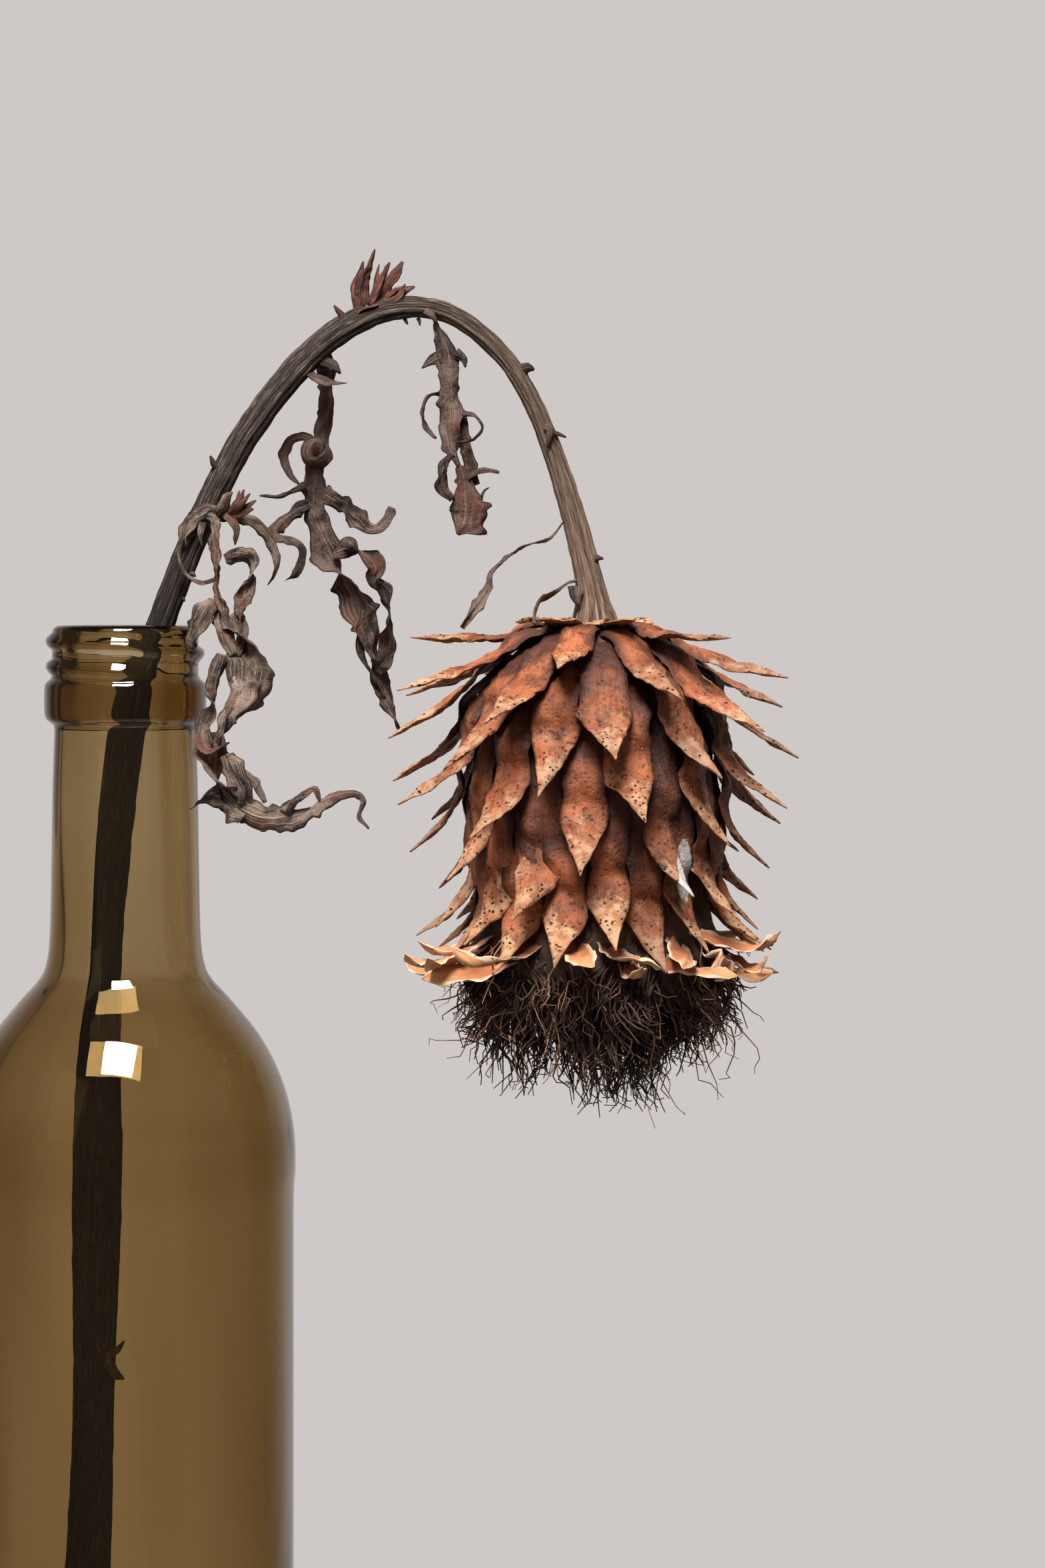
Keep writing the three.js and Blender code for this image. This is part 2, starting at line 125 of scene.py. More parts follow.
class Graph:
    """A node tree that is written as expressions on wires."""

    def __init__(self, tree: bpy.types.NodeTree) -> None:
        """Keeps the tree that nodes are added to."""
        self.tree = tree

    def add(
        self,
        kind: str,
        settings: dict | None = None,
        inputs: dict | None = None,
        output: int | str = 0,
    ) -> Wire:
        """Adds one node.

        Args:
            kind: The node's type.
            settings: Its properties, set before its inputs.
            inputs: Values or wires by socket name or number.
            output: The output socket to hand back.

        Returns:
            The wire of that output.
        """
        node = self.tree.nodes.new(kind)
        for name, value in (settings or {}).items():
            setattr(node, name, value)
        for key, value in (inputs or {}).items():
            self.feed(node.inputs[key], value)
        return Wire(self, node.outputs[output])

    def feed(self, socket: bpy.types.NodeSocket, value: Source) -> None:
        """Links a wire to a socket, or sets the socket's own value.

        Args:
            socket: The input to feed.
            value: The wire or plain value.
        """
        if isinstance(value, Wire):
            self.tree.links.new(value.socket, socket)
        else:
            socket.default_value = value

    def maths(self, operation: str, *values: Source) -> Wire:
        """Adds a Math node on numbers."""
        return self.add("ShaderNodeMath", {"operation": operation}, dict(enumerate(values)))

    def vector(self, operation: str, *values: Source, output: int = 0) -> Wire:
        """Adds a Vector Math node."""
        inputs = dict(enumerate(values))
        return self.add("ShaderNodeVectorMath", {"operation": operation}, inputs, output)

    def length(self, vector: Wire) -> Wire:
        """Measures a vector."""
        return self.vector("LENGTH", vector, output=1)

    def scale(self, vector: Wire, factor: Source) -> Wire:
        """Stretches a vector."""
        settings = {"operation": "SCALE"}
        return self.add("ShaderNodeVectorMath", settings, {0: vector, "Scale": factor})

    def combine(self, x: Source, y: Source, z: Source) -> Wire:
        """Joins three numbers in a vector."""
        return self.add("ShaderNodeCombineXYZ", None, {0: x, 1: y, 2: z})

    def mix(self, factor: Source, first: Source, second: Source, blend: str = "MIX") -> Wire:
        """Mixes two colours.

        Args:
            factor: 0 gives the first colour and 1 the blend with the second.
            first: The colour underneath.
            second: The colour on top.
            blend: How they mix.

        Returns:
            The mixed colour.
        """
        settings = {"data_type": "RGBA", "blend_type": blend, "clamp_factor": True}
        return self.add("ShaderNodeMix", settings, {0: factor, 6: first, 7: second}, 2)

    def band(self, value: Source, low: float, high: float) -> Wire:
        """Rises smoothly from 0 at low to 1 at high."""
        settings = {"interpolation_type": "SMOOTHSTEP"}
        return self.add("ShaderNodeMapRange", settings, {0: value, 1: low, 2: high, 3: 0.0, 4: 1.0})

    def grain(self, place: Wire, scale: float, detail: float = 4.0, rough: float = 0.55) -> Wire:
        """Adds a noise pattern of 0 to 1."""
        inputs = {"Vector": place, "Scale": scale, "Detail": detail, "Roughness": rough}
        return self.add("ShaderNodeTexNoise", None, inputs)

    def cells(self, place: Wire, scale: float) -> Wire:
        """Adds the distance to the nearest of scattered points."""
        return self.add("ShaderNodeTexVoronoi", None, {"Vector": place, "Scale": scale})

    def drift(self, place: Wire) -> Wire:
        """Adds a vector whose parts wander between -0.5 and 0.5.

        Args:
            place: Where it is read.

        Returns:
            The vector.
        """
        inputs = {"Vector": place, "Scale": 1.0, "Detail": 2.0}
        wander = self.add("ShaderNodeTexNoise", None, inputs, "Color")
        return self.vector("SUBTRACT", wander, (0.5, 0.5, 0.5))

    def stain(
        self,
        base: Source,
        colour: Source,
        pattern: Wire,
        ends: tuple[float, float],
        share: Source = 1.0,
    ) -> Wire:
        """Lays a colour over another where a pattern is strong.

        Args:
            base: The colour underneath.
            colour: The colour on top.
            pattern: What decides where it shows.
            ends: The pattern's readings where the colour starts and where it is full.
            share: How much of the colour shows where it is full.

        Returns:
            The stained colour.
        """
        return self.mix(self.band(pattern, *ends) * share, base, colour)


class Surface(Graph):
    """A material whose tree starts as one Principled shader."""

    def __init__(self, name: str) -> None:
        """Makes the material.

        Args:
            name: The material's name.
        """
        self.material = bpy.data.materials.new(name)
        self.material.use_nodes = True
        super().__init__(self.material.node_tree)
        self.shader = self.tree.nodes["Principled BSDF"]

    def set(self, **sockets: Source) -> None:
        """Feeds the shader's sockets, named with underscores for spaces."""
        for name, value in sockets.items():
            self.feed(self.shader.inputs[name.replace("_", " ")], value)

    def bump(self, height: Wire, strength: float, depth_mm: float) -> None:
        """Turns a height of 0 to 1 into the shader's normal.

        Args:
            height: The relief.
            strength: How much of it counts.
            depth_mm: Its full depth.
        """
        inputs = {"Height": height, "Strength": strength, "Distance": depth_mm * MM}
        self.set(Normal=self.add("ShaderNodeBump", None, inputs))

    @cached_property
    def place(self) -> Wire:
        """Object coordinates, in metres."""
        return self.add("ShaderNodeTexCoord", output="Object")

    @cached_property
    def across(self) -> Wire:
        """How far across a blade a point is, 0 to 1."""
        return Wire(self, self._map_parts.outputs[0])

    @cached_property
    def aside(self) -> Wire:
        """How far a point is from a blade's middle line, 0 to 0.5."""
        return self.maths("ABSOLUTE", self.across - 0.5)

    @cached_property
    def along(self) -> Wire:
        """Where a point lies along a blade: 1 at its tip, and 1 less for every 60 mm back."""
        return Wire(self, self._map_parts.outputs[1])

    @cached_property
    def _map_parts(self) -> bpy.types.Node:
        """The node that splits the surface map."""
        lengthwise = self.add("ShaderNodeTexCoord", output="UV")
        return self.add("ShaderNodeSeparateXYZ", None, {0: lengthwise}).socket.node

    def attribute(self, name: str) -> Wire:
        """Reads a number stored on the mesh."""
        return self.add("ShaderNodeAttribute", {"attribute_name": name}, None, "Fac")

    def fibres(self, tone: Wire, around: float, length: float) -> Wire:
        """Noise drawn out along a blade.

        Args:
            tone: The piece's own number, which keeps two blades from matching.
            around: Fibres across the blade.
            length: Breaks along it.

        Returns:
            The pattern, 0 to 1.
        """
        place = self.combine(self.across * around, self.along * length, tone * 37.0)
        return self.grain(place, 1.0, 5.0, 0.6)


class GrowthTree(Graph):
    """A geometry tree with named inputs that ends in realised geometry with one finish."""

    def __init__(self, name: str) -> None:
        """Makes the tree with a geometry input and output.

        Args:
            name: The tree's name.
        """
        tree = bpy.data.node_groups.new(name, "GeometryNodeTree")
        super().__init__(tree)
        tree.interface.new_socket(name="Geometry", in_out="INPUT", socket_type="NodeSocketGeometry")
        tree.interface.new_socket(name="Geometry", in_out="OUTPUT", socket_type="NodeSocketGeometry")
        self.start = tree.nodes.new("NodeGroupInput")
        self.keys: dict[str, str] = {}

    @property
    def carrier(self) -> Wire:
        """The geometry that the tree grows on."""
        return Wire(self, self.start.outputs["Geometry"])

    def size(self, name: str, kind: str = "Float") -> Wire:
        """Adds a named input.

        Args:
            name: The input's name.
            kind: The kind of its socket.

        Returns:
            The input's wire.
        """
        socket = self.tree.interface.new_socket(name=name, in_out="INPUT", socket_type=f"NodeSocket{kind}")
        self.keys[name] = socket.identifier
        return Wire(self, self.start.outputs[name])

    def finish_with(self, geometry: Wire, material: bpy.types.Material) -> None:
        """Closes the tree with Realize Instances and Set Material.

        Args:
            geometry: What the tree has grown.
            material: Its finish.
        """
        real = self.add("GeometryNodeRealizeInstances", None, {0: geometry})
        dressed = self.add("GeometryNodeSetMaterial", None, {"Geometry": real, "Material": material})
        end = self.tree.nodes.new("NodeGroupOutput")
        self.tree.links.new(dressed.socket, end.inputs["Geometry"])

    def grow(self, carrier: bpy.types.Object, **sizes: object) -> bpy.types.Mesh:
        """Runs the tree on a carrier object, which is then removed.

        Args:
            carrier: The object that the tree reads.
            **sizes: Values of the named inputs, with underscores for spaces.

        Returns:
            The grown mesh.
        """
        modifier = carrier.modifiers.new("growth", "NODES")
        modifier.node_group = self.tree
        for name, value in sizes.items():
            modifier[self.keys[name.replace("_", " ")]] = value
        graph = bpy.context.evaluated_depsgraph_get()
        mesh = bpy.data.meshes.new_from_object(carrier.evaluated_get(graph), depsgraph=graph)
        carrier.modifiers.remove(modifier)
        bpy.data.objects.remove(carrier)
        return mesh


# ---------------------------------------------------------------- finishes


@dataclass(frozen=True)
class Finish:
    """One surface finish: a material built once, and the record slot that it belongs to."""

    name: str
    slot: str = ""

    def build(self) -> bpy.types.Material:
        """Hands back the material, making it the first time."""
        return bpy.data.materials.get(self.name) or self.make()

    def make(self) -> bpy.types.Material:
        """Makes the material.

        Returns:
            The material, its shader fed.
        """
        surface = Surface(self.name)
        self.dress(surface)
        return surface.material

    def dress(self, s: Surface) -> None:
        """Feeds the shader; each finish does it in its own way."""
        raise NotImplementedError


@dataclass(frozen=True)
class LeatheryBract(Finish):
    """Orange-brown leathery tissue that fades to a dusty, speckled tip."""

    shaft: Colour = srgb(182, 108, 70)
    shade: Colour = srgb(104, 57, 38)
    glow: Colour = srgb(220, 146, 94)
    # painted shade for the gaps between neighbouring bracts
    painted_gap_shade: Colour = srgb(60, 32, 24)
    # painted shade for the covered foot of each bract
    foot: Colour = srgb(64, 34, 26)
    tip: Colour = srgb(212, 176, 142)
    tip_shade: Colour = srgb(176, 128, 94)
    speck: Colour = srgb(40, 26, 22)
    warm_tint: Colour = srgb(255, 240, 226)
    grey_tint: Colour = srgb(208, 198, 192)
    chipped: Colour = srgb(196, 190, 184)
    chip_at: Point = (16.9, -36.0, -44.5)
    chip_per_metre: Point = (560.0, 18.0, 150.0)

    def dress(self, s: Surface) -> None:
        """Colours a bract from its foot, darkened with painted shade in the deep gaps between bracts, to
        its dusty tip.

        Args:
            s: The surface to dress.
        """
        tone = s.attribute("tone")
        fibre = s.fibres(tone, 26.0, 3.0)
        blotch = s.grain(s.place, 170.0, 5.0, 0.6)
        patch = s.grain(s.place, 420.0, 4.0, 0.6)
        worn = s.grain(s.place, 260.0, 8.0, 0.72)
        base = s.stain(self.shaft, self.shade, blotch, (0.38, 0.66))
        base = s.stain(base, self.glow, fibre, (0.48, 0.72), 0.35)
        base = s.stain(base, self.shade, patch, (0.54, 0.66), 0.5)
        # Painted shade in the gaps between bracts: darkens the sides of the shaft behind the tip.
        behind_tip = s.band(s.along, 0.78, 0.62)
        base = s.stain(base, self.painted_gap_shade, s.aside, (0.2, 0.46), behind_tip * 0.85)
        base = s.stain(base, self.shade, s.aside, (0.43, 0.5), 0.5)
        dusty = s.band(s.along + (blotch - 0.5) * 0.3 + (worn - 0.5) * 0.7, 0.76, 0.9)
        base = s.mix(dusty * 0.85, base, s.stain(self.tip, self.tip_shade, patch, (0.42, 0.62)))
        # Painted shade over the foot, in the deep gaps where the bracts in front cover it.
        base = s.stain(base, self.foot, s.along, (0.66, 0.5), 0.9)
        specks = s.band(s.cells(s.place, 950.0), 0.36, 0.24)
        specks = specks * s.band(s.grain(s.place, 380.0, 3.0), 0.43, 0.56)
        near_tip = s.band(s.along, 0.65, 0.86) * 0.7 + 0.3
        base = s.mix(specks * near_tip, base, self.speck)
        base = s.mix(1.0, base, s.mix(tone, self.warm_tint, self.grey_tint), "MULTIPLY")
        chip = tuple(PLACES.head + Vector(self.chip_at) * MM)
        off_chip = s.vector("MULTIPLY", s.vector("SUBTRACT", s.place, chip), self.chip_per_metre)
        base = s.stain(base, self.chipped, s.length(off_chip) + (worn - 0.5) * 1.2, (1.0, 0.85), 0.9)
        s.set(Base_Color=base, Roughness=0.5 + dusty * 0.25 + (patch - 0.5) * 0.2)
        s.set(Specular_IOR_Level=0.45)
        fine = s.grain(s.place, 1300.0, 4.0)
        s.bump(fibre * 0.12 + worn * 0.55 + fine * 0.25 - specks * 0.15, 1.0, 1.1)


@dataclass(frozen=True)
class PaperyBract(Finish):
    """Thin papery tissue: tan at the foot, cream along the edges and tips."""

    foot: Colour = srgb(168, 98, 60)
    tip: Colour = srgb(206, 146, 98)
    edge: Colour = srgb(230, 204, 174)
    vein: Colour = srgb(140, 84, 54)

    def dress(self, s: Surface) -> None:
        """Colours a papery bract.

        Args:
            s: The surface to dress.
        """
        fibre = s.fibres(s.attribute("tone"), 18.0, 1.6)
        base = s.stain(self.foot, self.tip, s.along + (fibre - 0.5) * 0.2, (0.8, 0.98))
        base = s.stain(base, self.edge, s.aside, (0.3, 0.48), 0.8)
        base = s.stain(base, self.vein, fibre, (0.55, 0.75), 0.4)
        s.set(Base_Color=base, Roughness=0.6 + fibre * 0.15)
        s.set(Specular_IOR_Level=0.35, Sheen_Weight=0.1)
        s.bump(fibre, 0.5, 0.3)


@dataclass(frozen=True)
class WitheredLeaf(Finish):
    """Grey-brown crisp leaf with rusty patches, ribs and dark mould specks."""

    face: Colour = srgb(142, 120, 104)
    # dark: mottling and edges, and painted shade between the raised fibres
    dark: Colour = srgb(62, 48, 42)
    rust: Colour = srgb(112, 66, 50)
    # pale: the midrib's own colour, and painted highlight on the raised fibres
    pale: Colour = srgb(192, 174, 156)
    mould: Colour = srgb(48, 38, 34)

    def dress(self, s: Surface) -> None:
        """Colours a leaf.

        Args:
            s: The surface to dress.
        """
        blotch = s.grain(s.place, 190.0, 6.0, 0.62)
        rusty = s.grain(s.place, 120.0, 3.0, 0.5)
        fibre = s.fibres(s.attribute("tone"), 22.0, 5.0)
        base = s.stain(self.face, self.dark, blotch, (0.4, 0.6))
        base = s.stain(base, self.rust, rusty, (0.5, 0.66), 0.75)
        # Painted highlight on the raised fibres, and painted shade in the valleys between them.
        base = s.stain(base, self.pale, fibre, (0.5, 0.7), 0.55)
        base = s.stain(base, self.dark, fibre, (0.42, 0.3), 0.4)
        base = s.stain(base, self.dark, s.aside, (0.4, 0.5), 0.6)
        off_rib = s.maths("ABSOLUTE", s.across - 0.5 + (blotch - 0.5) * 0.1)
        rib = s.band(off_rib, 0.05, 0.01)
        base = s.mix(rib * 0.25, base, self.pale)
        in_blotch = s.band(blotch, 0.4, 0.6)
        base = s.stain(base, self.mould, s.cells(s.place, 1300.0), (0.3, 0.16), in_blotch * 0.8)
        s.set(Base_Color=base, Roughness=0.78 + blotch * 0.15, Specular_IOR_Level=0.3)
        s.bump(fibre * 0.6 + s.grain(s.place, 700.0, 5.0, 0.65) * 0.7 + rib * 0.2, 1.0, 1.0)


@dataclass(frozen=True)
class RibbedStem(Finish):
    """Dark ribbed stem, tanner towards the head, with pale dust on its ribs."""

    dark: Colour = srgb(44, 36, 33)
    dark_rib: Colour = srgb(104, 88, 76)
    tan: Colour = srgb(88, 66, 54)
    tan_rib: Colour = srgb(152, 124, 102)
    dust: Colour = srgb(158, 138, 120)
    groove: Colour = srgb(30, 25, 23)
    # sunk: painted shade for the stem inside the bottle
    sunk: Colour = srgb(24, 20, 20)
    tan_metres: tuple[float, float] = (0.315, 0.395)
    bottle_shade_metres: tuple[float, float] = (0.275, 0.24)

    def dress(self, s: Surface) -> None:
        """Colours the stem by its length, and darkens what stands in the bottle with painted shade.

        Args:
            s: The surface to dress.
        """
        around = s.attribute("around")
        along = s.attribute("along")
        strand = s.grain(s.combine(around * 40.0, along * 60.0, 0.0), 1.0, 6.0, 0.65)
        fine = s.grain(s.combine(around * 90.0, along * 240.0, 3.0), 1.0, 4.0, 0.6)
        dark = s.stain(self.dark, self.dark_rib, strand, (0.45, 0.68))
        light = s.stain(self.tan, self.tan_rib, strand, (0.38, 0.62))
        base = s.stain(dark, light, along + (strand - 0.5) * 0.04, self.tan_metres)
        base = s.stain(base, self.dust, fine, (0.54, 0.66), 0.7)
        base = s.stain(base, self.groove, fine, (0.46, 0.36), 0.8)
        # Painted shade on the part of the stem that stands in the bottle.
        base = s.stain(base, self.sunk, along, self.bottle_shade_metres, 0.8)
        s.set(Base_Color=base, Roughness=0.7 + fine * 0.2, Specular_IOR_Level=0.3)
        s.bump(strand * 0.6 + fine * 0.5, 1.0, 0.9)


@dataclass(frozen=True)
class BudScale(Finish):
    """Rust-red pointed scales with dark streaks."""

    dark: Colour = srgb(84, 48, 37)
    rust: Colour = srgb(152, 90, 66)
    blot: Colour = srgb(52, 36, 31)
    tip: Colour = srgb(70, 46, 40)

    def dress(self, s: Surface) -> None:
        """Colours a bud.

        Args:
            s: The surface to dress.
        """
        fibre = s.fibres(s.attribute("tone"), 10.0, 2.0)
        blotch = s.grain(s.place, 420.0, 4.0)
        base = s.stain(self.dark, self.rust, fibre, (0.44, 0.66))
        base = s.stain(base, self.blot, blotch, (0.46, 0.62), 0.8)
        base = s.stain(base, self.tip, s.along, (0.94, 1.0), 0.6)
        s.set(Base_Color=base, Roughness=0.68 + blotch * 0.2)
        s.bump(fibre, 0.8, 0.4)


@dataclass(frozen=True)
class Bristle(Finish):
    """Streaky dry tissue of the florets and the receptacle."""

    root: Colour = srgb(50, 38, 32)
    end: Colour = srgb(84, 62, 50)

    def dress(self, s: Surface) -> None:
        """Colours a bristle.

        Args:
            s: The surface to dress.
        """
        streak = s.grain(s.place, 260.0, 4.0, 0.6)
        base = s.stain(self.root, self.end, streak, (0.38, 0.64))
        s.set(Base_Color=base, Roughness=0.66 + streak * 0.2, Specular_IOR_Level=0.35)
        s.bump(s.grain(s.place, 2600.0, 2.0), 0.5, 0.1)


@dataclass(frozen=True)
class BottleGlass(Finish):
    """Olive-brown glass, tinted through its thickness, with faint waves and dust."""

    tint: Colour = (0.61, 0.455, 0.12, 1.0)
    per_metre: float = 450.0

    def dress(self, s: Surface) -> None:
        """Clears the surface and tints the glass inside it.

        Args:
            s: The surface to dress.
        """
        wave = s.grain(s.vector("MULTIPLY", s.place, (1.0, 1.0, 0.25)), 60.0, 2.0, 0.4)
        dust = s.band(s.grain(s.place, 900.0, 5.0, 0.7), 0.64, 0.8)
        s.set(Base_Color=(1.0, 1.0, 1.0, 1.0), Transmission_Weight=1.0, IOR=1.5)
        s.set(Roughness=dust * 0.08)
        s.bump(wave, 0.12, 0.6)
        bath = {"Color": self.tint, "Density": self.per_metre}
        volume = s.add("ShaderNodeVolumeAbsorption", None, bath)
        s.feed(s.tree.nodes["Material Output"].inputs["Volume"], volume)


@dataclass(frozen=True)
class StudioFloor(Finish):
    """Pale matte table top that fades out towards its rim."""

    pale: Colour = srgb(168, 164, 161)
    grey: Colour = srgb(156, 152, 149)
    radius: float = 0.27
    full_share: float = 0.62

    def dress(self, s: Surface) -> None:
        """Colours the table top.

        Args:
            s: The surface to dress.
        """
        fade = s.band(s.length(s.place), self.radius, self.radius * self.full_share)
        base = s.mix(s.grain(s.place, 300.0, 4.0) * 0.3, self.pale, self.grey)
        s.set(Base_Color=base, Roughness=0.9, Alpha=fade)


class Look(Enum):
    """The finishes of the object's pieces."""

    BRACT = LeatheryBract("bract_leather", "bract")
    PAPERY = PaperyBract("papery_bract", "papery")
    LEAF = WitheredLeaf("withered_leaf", "leaf")
    DARK_LEAF = WitheredLeaf(
        "dark_leaf", "leaf", srgb(104, 84, 73), srgb(46, 36, 32), srgb(98, 56, 43), srgb(164, 144, 128)
    )
    STEM = RibbedStem("ribbed_stem", "stem")
    BUD = BudScale("bud_scale", "bud")
    DARK_BRISTLE = Bristle("dark_bristle", "bristles")
    TAN_BRISTLE = Bristle("tan_bristle", "bristles", srgb(120, 82, 58), srgb(178, 132, 98))
    FLESH = Bristle("receptacle_flesh", "receptacle", srgb(58, 38, 30), srgb(96, 62, 46))
    GLASS = BottleGlass("bottle_glass", "glass")
    FLOOR = StudioFloor("studio_floor")


# ---------------------------------------------------------------- frame places


@dataclass(frozen=True)
class Places:
    """Where the frame's main points are, in metres."""

    axis: Vector
    rim: float
    head: Vector

    @classmethod
    def read(cls) -> "Places":
        """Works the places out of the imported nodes' boxes.

        Returns:
            The places.
        """
        low, high = (Vector(corner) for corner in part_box("bottle"))
        axis = (low + high) / 2
        flesh_low, flesh_high = (Vector(corner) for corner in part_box("receptacle"))
        head = (flesh_low + flesh_high) / 2
        head.z = flesh_high.z - 2 * MM
        return cls(axis, high.z, head)

    def point(self, route_point: Point) -> Vector:
        """Turns millimetres from the rim's middle into a place in the frame."""
        x, y, z = route_point
        return Vector((self.axis.x + x * MM, self.axis.y + y * MM, self.rim + z * MM))


PLACES = Places.read()


# ---------------------------------------------------------------- mesh building


def smooth_values(values: Sequence, count: int) -> np.ndarray:
    """Reads a list of numbers or points along a smooth curve.

    Args:
        values: Evenly spaced knots.
        count: How many readings to take.

    Returns:
        The readings, one row each.
    """
    knots = np.asarray(values, dtype=float)
    if knots.ndim == 1:
        knots = knots[:, None]
    before = 2 * knots[0] - knots[1]
    after = 2 * knots[-1] - knots[-2]
    padded = np.vstack([before, knots, after])
    place = np.linspace(0, len(knots) - 1, count)
    index = np.minimum(place.astype(int), len(knots) - 2)
    t = (place - index)[:, None]
    a, b, c, d = (padded[index + k] for k in range(4))
    curve = 2 * b + (c - a) * t + (2 * a - 5 * b + 4 * c - d) * t**2
    return 0.5 * (curve + (3 * b - a - 3 * c + d) * t**3)


def even_route(points: np.ndarray, count: int) -> tuple[np.ndarray, np.ndarray]:
    """Spaces a dense route evenly.

    Args:
        points: A dense row of points.
        count: How many points to keep.

    Returns:
        The points, and each one's share of the dense row.
    """
    steps = np.linalg.norm(np.diff(points, axis=0), axis=1)
    length = np.concatenate([[0], np.cumsum(steps)])
    target = np.linspace(0, length[-1], count)
    share = np.interp(target, length, np.linspace(0, 1, len(points)))
    kept = [np.interp(target, length, points[:, k]) for k in range(points.shape[1])]
    return np.stack(kept, axis=1), share


def read_along(values: Sequence[float], share: np.ndarray) -> np.ndarray:
    """Reads evenly spaced values at shares of the way along."""
    return np.interp(share, np.linspace(0, 1, len(values)), values)


def unit_tangents(centres: np.ndarray) -> np.ndarray:
    """Finds the direction of a row of points at each of them."""
    tangents = np.gradient(centres, axis=0)
    return tangents / np.linalg.norm(tangents, axis=1)[:, None]


def roll_frame(sides: np.ndarray, ups: np.ndarray, angles: np.ndarray) -> tuple[np.ndarray, np.ndarray]:
    """Rolls a frame about its route.

    Args:
        sides: Direction across, at each point.
        ups: Direction out of the face, at each point.
        angles: How far to roll, in radians.

    Returns:
        The rolled sides and ups.
    """
    cosine, sine = np.cos(angles)[:, None], np.sin(angles)[:, None]
    return sides * cosine + ups * sine, ups * cosine - sides * sine


def left_to_tip(centres: np.ndarray) -> np.ndarray:
    """Measures how much of a row of points is left at each of them."""
    runs = np.linalg.norm(np.diff(centres, axis=0), axis=1)
    return np.concatenate([np.cumsum(runs[::-1])[::-1], [0]])


def ring_faces(start: int, rings: int, sides: int) -> list[tuple[int, ...]]:
    """Lists the four-sided faces between rings of points.

    Args:
        start: The first point's number.
        rings: How many rings there are.
        sides: How many points each has.

    Returns:
        The faces.
    """
    faces = []
    for ring in range(rings - 1):
        here = start + ring * sides
        for side in range(sides):
            after = (side + 1) % sides
            faces.append((here + side, here + after, here + sides + after, here + sides + side))
    return faces


def make_mesh(name: str, points: Sequence, faces: Sequence) -> bpy.types.Mesh:
    """Makes a smooth mesh.

    Args:
        name: The mesh's name.
        points: Its points, in metres.
        faces: Its faces, as point numbers.

    Returns:
        The mesh.
    """
    mesh = bpy.data.meshes.new(name)
    mesh.from_pydata([tuple(point) for point in points], [], faces)
    mesh.update()
    mesh.shade_smooth()
    return mesh


def add_object(name: str, data: bpy.types.ID) -> bpy.types.Object:
    """Puts a new object in the scene.

    Args:
        name: The object's name.
        data: Its mesh, curve, camera or light.

    Returns:
        The object.
    """
    made = bpy.data.objects.new(name, data)
    bpy.context.scene.collection.objects.link(made)
    return made


@dataclass
class Skin:
    """Vertices, faces and surface map of a piece while it is being built."""

    points: list[np.ndarray] = field(default_factory=list)
    faces: list[tuple[int, ...]] = field(default_factory=list)
    maps: list[np.ndarray] = field(default_factory=list)
    tones: list[float] = field(default_factory=list)

    def add_rings(self, rings: np.ndarray, uvs: np.ndarray, tone: float) -> None:
        """Skins rings of points and closes both ends.

        Args:
            rings: Points as ring, side and coordinate.
            uvs: The surface map of each point.
            tone: The piece's own number, 0 to 1.
        """
        start = len(self.tones)
        count, sides, _ = rings.shape
        self.points.extend(rings.reshape(-1, 3))
        self.maps.extend(uvs.reshape(-1, 2))
        self.tones.extend([tone] * (count * sides))
        self.faces.extend(ring_faces(start, count, sides))
        last = start + (count - 1) * sides
        self.faces.append(tuple(range(start + sides - 1, start - 1, -1)))
        self.faces.append(tuple(range(last, last + sides)))

    def mesh(self, name: str) -> bpy.types.Mesh:
        """Turns the skin into a mesh with its map and its tones.

        Args:
            name: The mesh's name.

        Returns:
            The mesh.
        """
        mesh = make_mesh(name, self.points, self.faces)
        layer = mesh.uv_layers.new(name="UVMap")
        corners = np.zeros(len(mesh.loops), dtype=np.int32)
        mesh.loops.foreach_get("vertex_index", corners)
        layer.data.foreach_set("uv", np.asarray(self.maps)[corners].ravel())
        tone = mesh.attributes.new("tone", "FLOAT", "POINT")
        tone.data.foreach_set("value", self.tones)
        return mesh


WIDTH_GAIN = 1.05
CUP_GAIN = 0.8
WANDER_MM = 9.0
CUP_WOBBLE = 0.024
EDGE_THINNING = 0.75


